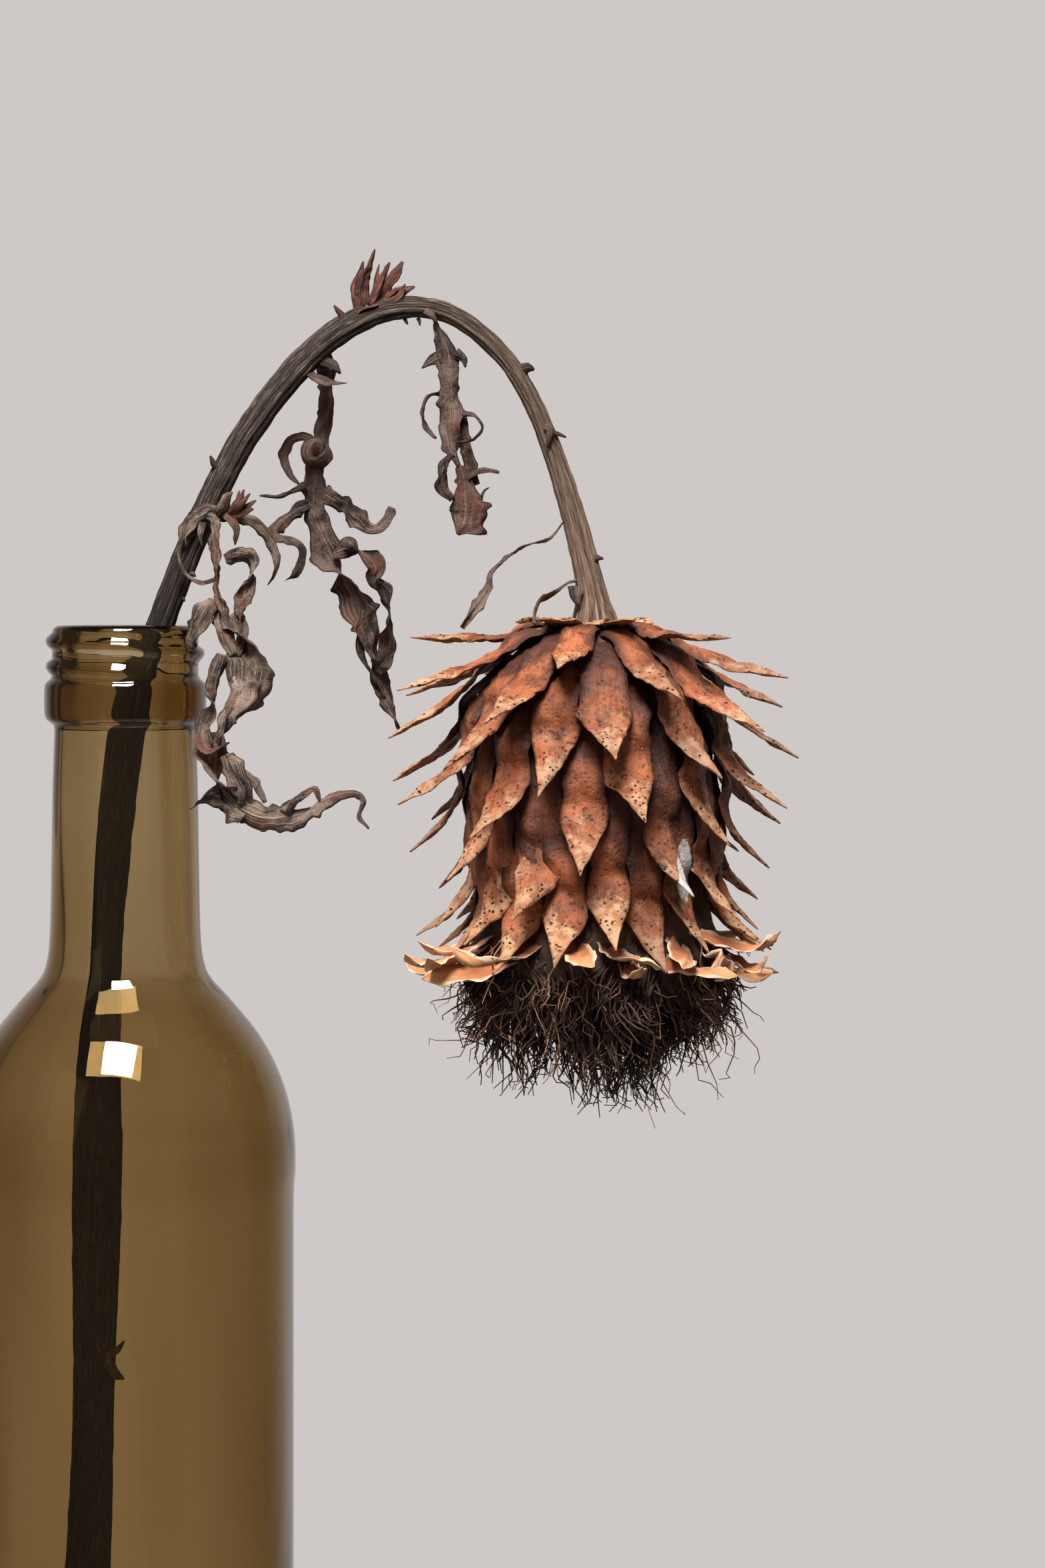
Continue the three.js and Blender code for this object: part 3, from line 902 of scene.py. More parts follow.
@dataclass(frozen=True)
class Blade:
    """A ribbon along a route: a leaf, a lobe, a scale or a bract.

    Widths, rolls (degrees) and cups (radians that half the width bends through) run evenly along
    the route; a cup near 1.5 rolls the blade into a gutter.
    """

    route: Sequence[Point]
    widths: Sequence[float]
    rolls: Sequence[float] = (0, 0)
    cups: Sequence[float] = (0.4, 0.4)
    thickness: float = 0.26
    crinkle: float = 0.75
    ragged: float = 0.16
    wobble: float = 38.0
    across: int = 9
    spacing: float = 0.45

    def lay(self, skin: Skin, seed: int) -> None:
        """Adds the blade to a skin.

        Args:
            skin: The skin to grow.
            seed: Sets its crinkles and its tone.
        """
        knots = np.array([PLACES.point(point) for point in self.route])
        dense = smooth_values(knots, 240)
        length = np.linalg.norm(np.diff(dense, axis=0), axis=1).sum() / MM
        count = max(6, int(length / self.spacing))
        centres, share = even_route(dense, count)
        sides, ups = self.carry_frame(centres)
        widths = read_along(self.widths, share) * WIDTH_GAIN * MM
        rolls = read_along(self.rolls, share)
        cups = read_along(self.cups, share) * CUP_GAIN
        for k, place in enumerate(share * length / WANDER_MM):
            rolls[k] += self.wobble * 2 * noise.noise(Vector((place, seed * 5.1, 0.5)))
            cups[k] += self.wobble * CUP_WOBBLE * noise.noise(Vector((place * 1.6, seed * 2.3, 7.5)))
        turned, lifted = roll_frame(sides, ups, np.radians(rolls))
        lay_ribbon(skin, centres, turned, lifted, widths, cups, self, seed)

    def carry_frame(self, centres: np.ndarray) -> tuple[np.ndarray, np.ndarray]:
        """Carries a frame along the route with no twist of its own.

        Args:
            centres: The route's points.

        Returns:
            The side and the outward direction at each point; the first faces the viewer.
        """
        tangents = unit_tangents(centres)
        up = np.array([0.0, -1.0, 0.0])
        ups = []
        for tangent in tangents:
            up = up - tangent * np.dot(up, tangent)
            up /= np.linalg.norm(up)
            ups.append(up)
        ups = np.array(ups)
        return np.cross(tangents, ups), ups


def ragged_edge(place: float, seed: float) -> float:
    """How far a blade's edge strays, with sharp teeth.

    Args:
        place: Millimetres along the blade.
        seed: Which edge it is.

    Returns:
        The stray, about -0.5 to 1.
    """
    slow = noise.noise(Vector((place * 0.3, seed, 0.2)))
    teeth = noise.noise(Vector((place * 0.55, seed, 4.2)))
    return slow * 0.8 + max(0.0, teeth - 0.1) * 2.6


def crease(place: float, side: float, seed: float) -> float:
    """Height of a blade's creases, about -0.7 to 0.7.

    Args:
        place: Millimetres along the blade.
        side: -1 to 1 across it.
        seed: Which blade it is.

    Returns:
        The height, sharp along the valleys.
    """
    slant = place * 0.2 + side * 0.9
    broad = noise.noise(Vector((slant, side * 0.8, seed)))
    fine = abs(noise.noise(Vector((slant * 1.7, side * 1.3, seed + 3.3))))
    return broad * 1.4 + 0.35 - fine * 1.5


def lay_ribbon(
    skin: Skin,
    centres: np.ndarray,
    sides: np.ndarray,
    ups: np.ndarray,
    widths: np.ndarray,
    cups: np.ndarray,
    shape: Blade,
    seed: int,
) -> None:
    """Skins a thin curved ribbon with crinkles and ragged edges.

    Args:
        skin: The skin to grow.
        centres: Middle line, in metres.
        sides: Direction across, at each point.
        ups: Direction out of the face, at each point.
        widths: Width at each point, in metres.
        cups: How far half the width bends, in radians.
        shape: The blade, for its thickness, crinkle and raggedness.
        seed: Sets the crinkles and the tone.
    """
    count = len(centres)
    steps = np.linspace(-1, 1, shape.across)
    along = np.linspace(0, 1, count)
    step = np.linalg.norm(centres[1] - centres[0]) / MM
    wild = np.array([
        [ragged_edge(k * step, edge * 7.3 + seed * 3.7) for edge in (0, 1)] for k in range(count)
    ])
    half = widths[:, None] / 2 * (1 + shape.ragged * 2 * np.where(steps < 0, wild[:, :1], wild[:, 1:]))
    bend = np.maximum(np.abs(cups), 1e-3)[:, None] * np.sign(cups + 1e-9)[:, None]
    angle = bend * steps
    out = half * np.sin(angle) / bend
    down = half * (1 - np.cos(angle)) / bend
    folds = np.array([[crease(k * step, side, seed * 1.9) for side in steps] for k in range(count)])
    taper = np.sqrt(np.clip(np.minimum(along * 12, (1 - along) * 8), 0, 1))
    lift = folds * shape.crinkle * MM * taper[:, None] * np.minimum(1, widths / (3 * MM))[:, None]
    face = centres[:, None, :] + sides[:, None, :] * out[..., None]
    face = face + ups[:, None, :] * (lift - down)[..., None]
    tilt = np.cos(angle)[..., None] * ups[:, None, :] + np.sin(angle)[..., None] * sides[:, None, :]
    thick = shape.thickness * MM / 2 * (1 - EDGE_THINNING * steps[None, :] ** 4)
    thick = thick * (0.35 + 0.65 * taper[:, None])
    top = face + tilt * thick[..., None]
    bottom = face - tilt * thick[..., None]
    rings = np.concatenate([top, bottom[:, ::-1]], axis=1)
    across = np.concatenate([steps, steps[::-1]]) * 0.5 + 0.5
    back = 1 - left_to_tip(centres)[:, None] / MAP_LENGTH
    uvs = np.stack(np.broadcast_arrays(across[None, :], back), axis=-1)
    skin.add_rings(rings, uvs, random.Random(seed).random())


def show(mesh: bpy.types.Mesh, name: str, look: Look, nodes: Sequence[str]) -> None:
    """Makes a finished piece of a mesh and hands it to the frame.

    Args:
        mesh: The mesh, in the frame's own places.
        name: The piece's name.
        look: Its main finish.
        nodes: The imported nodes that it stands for.
    """
    if not mesh.materials:
        mesh.materials.append(look.value.build())
    piece = add_object(name, mesh)
    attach(piece, BODY)
    if nodes:
        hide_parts(*nodes)
    LOG.info("%s: %d faces", name, len(mesh.polygons))


def join_meshes(name: str, meshes: Sequence[bpy.types.Mesh]) -> bpy.types.Mesh:
    """Joins meshes into one, keeping their materials.

    Args:
        name: The new mesh's name.
        meshes: The meshes to join.

    Returns:
        The joined mesh.
    """
    parts = [add_object(f"{name}_{k}", mesh) for k, mesh in enumerate(meshes)]
    with bpy.context.temp_override(active_object=parts[0], selected_editable_objects=parts):
        bpy.ops.object.join()
    joined = parts[0].data
    joined.name = name
    bpy.data.objects.remove(parts[0])
    return joined


# ---------------------------------------------------------------- bottle


@dataclass(frozen=True)
class Bottle:
    """The screw-finish bottle: outline knots as radius and height from the rim, in millimetres."""

    height: float = 260.0
    body_radius: float = 32.9
    wall: float = 3.4
    bore: float = 11.7
    thread_top: float = -1.75
    thread_pitch: float = 4.9
    thread_ends: tuple[float, float] = (0.15, 1.62)
    thread_rise: float = 1.25
    thread_width: float = 1.3
    run_out: float = 0.12
    unevenness: float = 0.55
    segments: int = 192
    outer_rows: int = 330
    inner_rows: int = 150
    under_rows: int = 14

    def outside(self) -> list[tuple[float, float]]:
        """Draws the outer outline.

        Returns:
            Radius and height pairs, from the foot to the lip.
        """
        base = -self.height
        heel = [(24.5, base), (28.5, base), (30.6, base + 0.6), (32.1, base + 2.2), (32.8, base + 5)]
        body = [(self.body_radius, base + 9), (self.body_radius, -200), (self.body_radius, -150)]
        top = [(self.body_radius, -114), (33.25, -105.8), (33.0, -99.3), (31.8, -92.8)]
        shoulder = [(29.5, -86.3), (25.85, -79.8), (20.5, -73.2), (16.9, -69.2), (15.4, -66.0)]
        neck = [(14.7, -60.2), (14.4, -47.2), (14.2, -34), (13.95, -25), (13.8, -20.2)]
        bead = [(14.2, -19.2), (15.1, -18.6), (15.6, -17.8), (15.75, -16.4), (15.75, -12.4)]
        finish = [(15.45, -11.2), (14.75, -10.6), (14.3, -10.0), (14.26, -7.0), (14.26, -1.6)]
        lip = [(14.05, -0.7), (13.4, -0.12), (12.6, 0.0)]
        return heel + body + top + shoulder + neck + bead + finish + lip

    def inside(self) -> list[tuple[float, float]]:
        """Draws the inner outline.

        Returns:
            Radius and height pairs, from the lip down to the floor's middle.
        """
        base = -self.height
        inner = self.body_radius - self.wall
        mouth = [(12.1, -0.1), (11.5, -0.8), (11.2, -2.4), (11.2, -8), (11.2, -16)]
        neck = [(11.2, -22), (self.bore, -34), (self.bore + 0.2, -50), (12.2, -61), (13.2, -67.5)]
        shoulder = [(16.6, -73.4), (22.6, -80.6), (26.8, -88), (29.2, -96), (inner, -104)]
        heel = [(inner, -150), (inner, base + 16), (inner - 1.6, base + 10), (inner - 6.5, base + 7.4)]
        return mouth + neck + shoulder + heel + [(16, base + 9), (0, base + 10.5)]

    def make(self) -> bpy.types.Mesh:
        """Spins the outline, with the thread laid on as a helix, into one closed wall.

        Returns:
            The bottle's mesh.
        """
        push_up = [(0, 4 - self.height), (14, 3.4 - self.height), (22, 1.4 - self.height)]
        outer = even_route(smooth_values(self.outside(), 900), self.outer_rows)[0]
        inner = even_route(smooth_values(self.inside(), 500), self.inner_rows)[0]
        under = even_route(smooth_values(push_up + [self.outside()[0]], 60), self.under_rows)[0][:-1]
        outline = np.vstack([under, outer, inner])
        outline[:, 0] = np.maximum(outline[:, 0], 0)
        points: list[Point] = []
        for radius, height in outline[1:-1]:
            is_outside = len(points) < (len(under) + len(outer) - 1) * self.segments
            for turn in range(self.segments):
                angle = 2 * math.pi * turn / self.segments
                stray = self.thread(angle, height) if is_outside else self.ripple(angle, radius, height)
                reach = radius + stray
                points.append(PLACES.point((reach * math.cos(angle), reach * math.sin(angle), height)))
        rows = len(outline) - 2
        faces = ring_faces(0, rows, self.segments)
        for pole, row, flip in ((outline[0], 0, True), (outline[-1], rows - 1, False)):
            points.append(PLACES.point((0, 0, pole[1])))
            centre = len(points) - 1
            for turn in range(self.segments):
                a = row * self.segments + turn
                b = row * self.segments + (turn + 1) % self.segments
                faces.append((centre, b, a) if flip else (centre, a, b))
        return make_mesh("bottle_glass", points, faces)

    def ripple(self, angle: float, radius: float, height: float) -> float:
        """How far the inside strays where the glass ran unevenly, drawn out along the bottle.

        Args:
            angle: Turn around the axis, in radians.
            radius: The inside's even radius, in millimetres.
            height: Height from the rim, in millimetres.

        Returns:
            The stray in millimetres.
        """
        place = Vector((math.cos(angle) * 2.4, math.sin(angle) * 2.4, height * 0.018))
        return self.unevenness * noise.noise(place) * min(1.0, radius / 10)

    def thread(self, angle: float, height: float) -> float:
        """How far the screw thread stands out at a place.

        Args:
            angle: Turn around the axis, in radians.
            height: Height from the rim, in millimetres.

        Returns:
            The rise in millimetres.
        """
        best = 0.0
        first, last = self.thread_ends
        around = (angle - math.pi / 2) / (2 * math.pi) % 1.0
        for turn in range(2):
            progress = turn + around
            fade = max(0.0, min(1.0, (progress - first) / self.run_out, (last - progress) / self.run_out))
            away = abs(height - self.thread_top + progress * self.thread_pitch) / self.thread_width
            if away < 1:
                best = max(best, self.thread_rise * fade * (1 - away**2) ** 0.5)
        return best

    def build(self) -> None:
        """Builds the bottle."""
        show(self.make(), "bottle_glass", Look.GLASS, ["bottle"])


# ---------------------------------------------------------------- stem


@dataclass(frozen=True)
class Stem:
    """The ribbed stem with its scars and pegs; the route holds x, y, z and radius."""

    route: Sequence[tuple[float, float, float, float]] = (
        (-12, 2, -246, 4.2), (-9.5, 1.5, -215, 4.1), (-7.2, 1, -184, 4), (-6, 0.5, -148, 3.9),
        (-5.4, 0, -112, 3.7), (-4.8, 0, -80, 3.45), (-3.4, 0, -49, 3.1), (-0.6, 0, -26, 2.9),
        (2.5, 0, -11.5, 2.75), (6.9, 0, 0, 2.6), (14.6, -0.5, 19.5, 2.6), (24.2, -1, 37.8, 2.6),
        (36.8, -1.5, 53.2, 2.6), (48.5, -1.5, 60.6, 2.3), (60, -1.5, 61.7, 1.95),
        (69.2, -1.5, 56.9, 1.8), (76.7, -1, 48.6, 1.75), (82.5, -0.5, 36.5, 1.9),
        (87.5, 0, 21.2, 2.3), (90.8, 0, 7.5, 2.8), (91.6, 0, 0.2, 4.6),
    )
    ribs: int = 11
    rib_depth: float = 0.1
    knobbliness: float = 0.7
    sides: int = 66

    def tree(self) -> GrowthTree:
        """Makes the tree that sweeps a ribbed section along the route.

        Returns:
            The tree.
        """
        g = GrowthTree("ribbed_stem")
        depth = g.size("Rib Depth")
        ribs = g.size("Ribs")
        sides = g.size("Sides", "Int")
        bumps = g.size("Knobbliness")
        position = g.add("GeometryNodeInputPosition")
        index = g.add("GeometryNodeInputIndex")
        ring = g.add("GeometryNodeCurvePrimitiveCircle", None, {"Resolution": sides, "Radius": 1.0})
        turn = index / sides
        ridge = g.maths("COSINE", turn * ribs * 2 * math.pi)
        second = g.maths("SINE", turn * 3 * 2 * math.pi) * 0.5
        swell = 1 + depth * (g.maths("ABSOLUTE", ridge) * 1.4 - 0.8 + second)
        ribbed = {"Geometry": ring, "Position": g.scale(position, swell)}
        section = g.add("GeometryNodeSetPosition", None, ribbed)
        named = {"data_type": "FLOAT", "domain": "POINT"}
        section = g.add(
            "GeometryNodeStoreNamedAttribute", named,
            {"Geometry": section, "Name": "around", "Value": turn},
        )
        run = g.add("GeometryNodeSplineParameter", output="Length")
        line = g.add(
            "GeometryNodeStoreNamedAttribute", named,
            {"Geometry": g.carrier, "Name": "along", "Value": run},
        )
        radius = g.add("GeometryNodeInputRadius")
        rod = g.add(
            "GeometryNodeCurveToMesh", None,
            {"Curve": line, "Profile Curve": section, "Scale": radius, "Fill Caps": True},
        )
        normal = g.add("GeometryNodeInputNormal")
        rough = g.grain(position, 260.0, 3.0) - 0.5
        knobs = {"Geometry": rod, "Offset": g.scale(normal, rough * bumps)}
        rod = g.add("GeometryNodeSetPosition", None, knobs)
        rod = g.add("GeometryNodeSetShadeSmooth", None, {"Geometry": rod})
        g.finish_with(rod, Look.STEM.value.build())
        return g

    def line(self) -> bpy.types.Object:
        """Draws the stem's middle line as a curve with its radii.

        Returns:
            The curve's object.
        """
        points = np.array([[*PLACES.point(knot[:3]), knot[3] * MM] for knot in self.route])
        dense = even_route(smooth_values(points, 1200), 420)[0]
        curve = bpy.data.curves.new("stem_line", "CURVE")
        curve.dimensions = "3D"
        spline = curve.splines.new("POLY")
        spline.points.add(len(dense) - 1)
        for knot, (x, y, z, radius) in zip(spline.points, dense):
            knot.co = (x, y, z, 1)
            knot.radius = radius
        return add_object("stem_line", curve)

    def pegs(self) -> bpy.types.Mesh:
        """Builds the leaf scars, spurs and thorns that stand off the stem.

        Returns:
            Their mesh.
        """
        stubs = (
            ((-4.2, -2, -142), (-1.6, -3.4, -145), (0.6, -4.6, -146), 2.2),
            ((-3.6, -2.5, -142), (-1.2, -3.6, -140.5), (0.4, -4.6, -138.6), 1.6),
            ((43.2, -1.5, 57.2), (42.6, -2.4, 60), (40.9, -2.6, 62.3), 1.8),
            ((76.6, -1.2, 49), (78.4, -1.8, 50.2), (79.9, -1.6, 49.8), 2.6),
            ((81.6, -1.8, 38.4), (82.9, -2.8, 37.8), (82.5, -3.2, 34.4), 2.0),
            ((82.8, -1.2, 37.6), (84.4, -1.8, 37.3), (86.1, -1.8, 36.6), 1.0),
            ((89.4, -0.5, 12.6), (91.6, -1, 13.1), (93.4, -1.2, 13.0), 1.6),
            ((88.2, -2.4, 7.6), (88.0, -3.2, 5.6), (88.6, -3.2, 3.6), 3.2),
            ((92.2, -1.8, 3.4), (94.4, -2, 1.2), (96.6, -2, -1.2), 2.4),
            ((12.0, -1.5, 10.2), (13.4, -2, 10.0), (13.9, -2, 9.4), 1.1),
            ((10.2, -1, 5.8), (11.4, -1.4, 5.2), (11.7, -1.4, 4.6), 1.0),
            ((54.6, -1.6, 59.8), (54.9, -1.8, 59.2), (55.2, -1.8, 58.6), 0.8),
            ((57.2, -1.6, 59.9), (57.5, -1.8, 59.2), (57.6, -1.8, 58.4), 0.8),
            ((19.0, -1.8, 29.8), (17.6, -2.6, 31.4), (16.8, -2.6, 33.0), 1.4),
            ((58.4, -3.0, 61.4), (60.0, -3.6, 60.2), (61.0, -3.2, 58.6), 1.6),
        )
        skin = Skin()
        for seed, (root, middle, tip, width) in enumerate(stubs, start=300):
            Blade(
                (root, middle, tip), (width, width * 0.8, 0.3), cups=(0.9, 0.6),
                thickness=min(1.4, width * 0.6), crinkle=0.4, wobble=0, across=5, spacing=0.5,
            ).lay(skin, seed)
        mesh = skin.mesh("stem_pegs")
        mesh.materials.append(Look.DARK_LEAF.value.build())
        return mesh

    def build(self) -> None:
        """Builds the stem."""
        rod = self.tree().grow(
            self.line(), Rib_Depth=self.rib_depth, Ribs=float(self.ribs) / 2,
            Sides=self.sides, Knobbliness=self.knobbliness * MM,
        )
        show(join_meshes("stem_ribbed", [rod, self.pegs()]), "stem_ribbed", Look.STEM, ["stem"])


# ---------------------------------------------------------------- leaves and buds


@dataclass(frozen=True)
class Foliage:
    """One packed leaf or bud node, as the blades that it is made of."""

    node: str
    blades: Sequence[Blade]
    look: Look = Look.LEAF

    def build(self, seed: int) -> None:
        """Builds the foliage as one piece.

        Args:
            seed: Sets the crinkles of its blades.
        """
        skin = Skin()
        for number, blade in enumerate(self.blades):
            blade.lay(skin, seed * 50 + number)
        show(skin.mesh(f"{self.node}_dried"), f"{self.node}_dried", self.look, [self.node])


def lower_leaf() -> Foliage:
    """The lowest leaf: twisted strands that hang beside the neck and curl out under it.

    Returns:
        The leaf.
    """
    return Foliage("leaf_lower", (
        Blade(
            ((16, -3.6, 20.7), (17.6, -6.5, 19), (18.3, -9, 11.5), (18.9, -10, 4),
             (20.2, -11, -0.7), (22.1, -12, -5.6)),
            (3.0, 3.8, 3.4, 2.7, 3.4, 1.8), (0, 10, -10, 0, 30, 50), (0.5, 0.3),
        ),
        Blade(
            ((20.2, -9, 12.9), (23, -8, 13.4), (25.3, -7, 12.2), (24.9, -8, 8.2), (23.5, -9.5, 4),
             (24.2, -10.5, -0.2), (22.8, -11.5, -5.9)),
            (2, 3.6, 3.4, 3.4, 3, 3.6, 1.2), (60, 0, -80, -150, -200, -300, -360),
            (0.9, 1.2, 0.5, 1.0, 0.4),
        ),
        Blade(
            ((18.4, -10, 4.8), (16.4, -12, 2.8), (15.2, -12.5, -0.2), (14, -12, -3.0),
             (14.6, -11.5, -4.4)),
            (2.6, 4.4, 3.4, 2, 1.4), (10, 30, -20, 0), (0.9, 0.7, 1.3),
        ),
        Blade(
            ((20.7, -10, 1.6), (24.4, -11, -2.6), (26.2, -12, -7.3), (25.6, -13, -12),
             (22.6, -13.5, -16.7), (19.5, -13.5, -20.4), (17.8, -13, -24.2), (18.5, -13, -28.9),
             (20.9, -13.5, -32.7), (24.9, -14, -35.8)),
            (3.4, 5.4, 6.4, 7.6, 7.8, 6.6, 5.8, 5.8, 5.6, 5.2),
            (20, 70, 140, 180, 220, 300, 350, 400, 470, 520, 540),
            (0.9, 0.5, -0.9, 0.4, 0.8, -1.2, 0.8, 0.5),
        ),
        Blade(
            ((23.6, -14, -35.0), (27, -14.5, -36.6), (31, -15, -36.8), (35.6, -15.5, -35.8),
             (39.5, -16.5, -33.6), (42.6, -17, -32.2), (46.2, -18, -32), (47.5, -18.5, -33.6),
             (46.8, -18.8, -36.2), (48.4, -19, -38.6)),
            (5.2, 5.4, 5.2, 4.2, 3.4, 2.4, 1.5, 1.3, 1.2, 0.5),
            (-10, 0, 25, 60, 30, 0, 40, 80, 40), (0.9, 1.2, 1.5, 1.7, 1.6, 1.5, 1.4), wobble=16,
            crinkle=0.5,
        ),
        Blade(
            ((20.2, -12, -5.6), (18.6, -13, -11), (18.2, -13.8, -15.7), (16.7, -14, -19.5),
             (17.7, -14.5, -23.7), (21.6, -14.5, -22.4)),
            (2.6, 4.2, 4.6, 3.4, 2.6, 1), (-30, 40, 130, 200, 260), (1.1, 0.8, 1.2),
        ),
        Blade(
            ((22.4, -10.5, -4), (23.8, -12.2, -8), (23.2, -14.4, -13), (20.4, -15.4, -18),
             (19.2, -15, -21.5)),
            (2.4, 5.6, 6.6, 4.6, 1.2), (40, 10, -25, -50), (0.4, 0.7, 0.4),
        ),
        Blade(
            ((19.8, -13.5, -32.7), (17, -13.6, -33.4), (13.6, -13, -35.3)),
            (4.4, 3.6, 0.4), (-20, 10, 30), (0.3, 0.7),
        ),
        Blade(
            ((20.7, -14, -25.1), (22.3, -15, -30.3), (24.2, -15, -33.4)),
            (2.2, 2.6, 0.5), (30, -20), (0.9, 0.6),
        ),
        Blade(
            ((23, -14, -27.6), (26.3, -14.6, -29.8), (27.4, -14.6, -31.8), (28.3, -14.4, -33.9)),
            (2, 1.8, 1.6, 0.8), (0, 60, 20), (1.2, 1.0),
        ),
        Blade(
            ((31.8, -15.6, -35.5), (34.6, -16.4, -32.7), (37.8, -17, -31), (39.1, -16.6, -33.9)),
            (3, 2.4, 1.6, 0.4), (0, 50, 10), (1.2, 1.0),
        ),
        Blade(
            ((21.0, -14.4, -24.6), (22.4, -15.4, -27.4), (24.4, -15.4, -31), (24.0, -14.6, -34.4)),
            (3.2, 4.4, 3.8, 2), (20, -10, 30), (0.9, 0.5, 1.0),
        ),
    ))


def middle_leaf() -> Foliage:
    """The middle leaf: a dark stalk, a curled roll, and a lobed blade that ends behind the head.

    Returns:
        The leaf.
    """
    return Foliage("leaf_middle", (
        Blade(
            ((36.4, -1.2, 52.2), (38.8, -0.8, 51.4), (39.8, 0.4, 49.6), (39.7, 1.6, 47),
             (39, 3.6, 41.8), (38.3, 5, 37.1), (37.6, 5.5, 32.6)),
            (3.0, 4.2, 4.2, 3.4, 2.9, 3.4, 4.2), (0, 10, -10), (1.5, 1.3), thickness=1.4, wobble=6,
        ),
        Blade(
            ((35.6, -2.6, 49.4), (38, -3.2, 48.2), (40.6, -3, 47.6), (43.4, -2.4, 47.2)),
            (1.2, 3.2, 2.6, 0.3), (30, 50), (0.8, 1.2),
        ),
        Blade(
            ((38, -2.4, 51.8), (40.8, -2.8, 50.6), (42.2, -2.4, 49)),
            (1.6, 2.2, 0.4), (10, 40), (0.8, 0.8),
        ),
        Blade(
            ((37.6, 5.5, 33), (37.2, 6, 30.6), (36.5, 6.5, 26.3), (36.5, 7, 22), (38.3, 7.5, 17.3),
             (40, 8, 13), (42.2, 8, 9.7), (44, 8.5, 5.8), (45.8, 9, 1.5), (47.3, 9.5, -2.5),
             (48.5, 10.5, -7), (49.3, 11, -11), (51.2, 12, -15), (52.3, 12.5, -18.5),
             (53.2, 13, -20.8)),
            (4.2, 5, 4.6, 4.6, 5.6, 6, 6, 6.4, 6.2, 5.4, 4.4, 4, 3.2, 2.2, 0.8),
            (0, 10, -10, 20, 80, 140, 190, 240, 310, 360, 430, 500),
            (0.9, 0.8, 0.5, 0.9, 0.7, 1.0, 1.2),
        ),
        Blade(
            ((38.8, 4.6, 36.4), (39.8, 2.8, 34), (38.3, 1.4, 31.9), (36, 1.2, 31.9),
             (34.9, 1.2, 34), (36, 1.4, 36.2), (38.1, 2, 36), (38.8, 2.6, 34.4)),
            (2.6, 3.2, 3.2, 3, 2.8, 2.6, 2, 1), (90, 90), (0.2, 0.2), wobble=3, crinkle=0.3,
            ragged=0.08,
        ),
        Blade(
            ((36.8, 4.6, 36), (34.4, 4.8, 36.9), (32, 5, 36.2), (30.7, 5, 33.1), (31.8, 5, 29.9),
             (33.6, 5.6, 27.9)),
            (1.8, 1.8, 2, 2, 1.6, 0.9), (60, 40, 10, 60), (0.9, 0.9),
        ),
        Blade(
            ((35, 6, 27.2), (32, 5.6, 26.2), (30, 5.2, 25.2), (25.8, 5, 25.4)),
            (2.4, 1.7, 1.4, 0.3), (30, 60), (0.9, 1.1),
        ),
        Blade(
            ((35.6, 6.4, 23.7), (33, 6, 22.6), (30.5, 5.6, 20.5), (29, 5.2, 18.2), (31, 5, 16.9),
             (33.9, 5, 15.5), (34.2, 5, 13), (33, 5, 10.1), (30.9, 5, 8.7)),
            (3, 2.8, 3.2, 2.8, 2.8, 2.4, 1.8, 1.5, 0.4), (20, -20, 30, 70, 20, -20, 40),
            (0.8, 1.1, 0.6),
        ),
        Blade(
            ((38.3, 6.5, 25.8), (42.2, 6, 23.8), (45.1, 5.4, 20.9), (47.6, 5, 19.1),
             (50.5, 5, 20.5), (51.9, 5, 23.2)),
            (3.4, 3.4, 3.8, 3.2, 2.4, 1.5), (10, -20, 30, 60, 10), (0.6, 1.0, 0.7),
        ),
        Blade(
            ((40.2, 7.4, 14.2), (43.5, 6.6, 15.2), (46.5, 6, 14), (48.7, 5.8, 11.5), (48.3, 6.2, 9),
             (50.1, 6.6, 6.9), (51.1, 7, 3), (51.3, 8, -2), (50.4, 9, -6), (48.6, 10, -9.5)),
            (3, 4, 4.4, 3.8, 2.8, 3.6, 4.2, 4, 3.4, 1.8),
            (20, -30, -90, -150, -220, -280, -340, -400), (0.7, 0.9, 0.5, 1.0),
        ),
        Blade(
            ((46.6, 8.4, 3), (45.6, 8.8, -3), (46.6, 9.4, -7.5), (49.2, 10.4, -11.5),
             (50.4, 11, -14.4)),
            (2.2, 2, 1.3, 1.1, 0.8), (0, 40, 80), (0.9, 1.2),
        ),
    ), Look.DARK_LEAF)


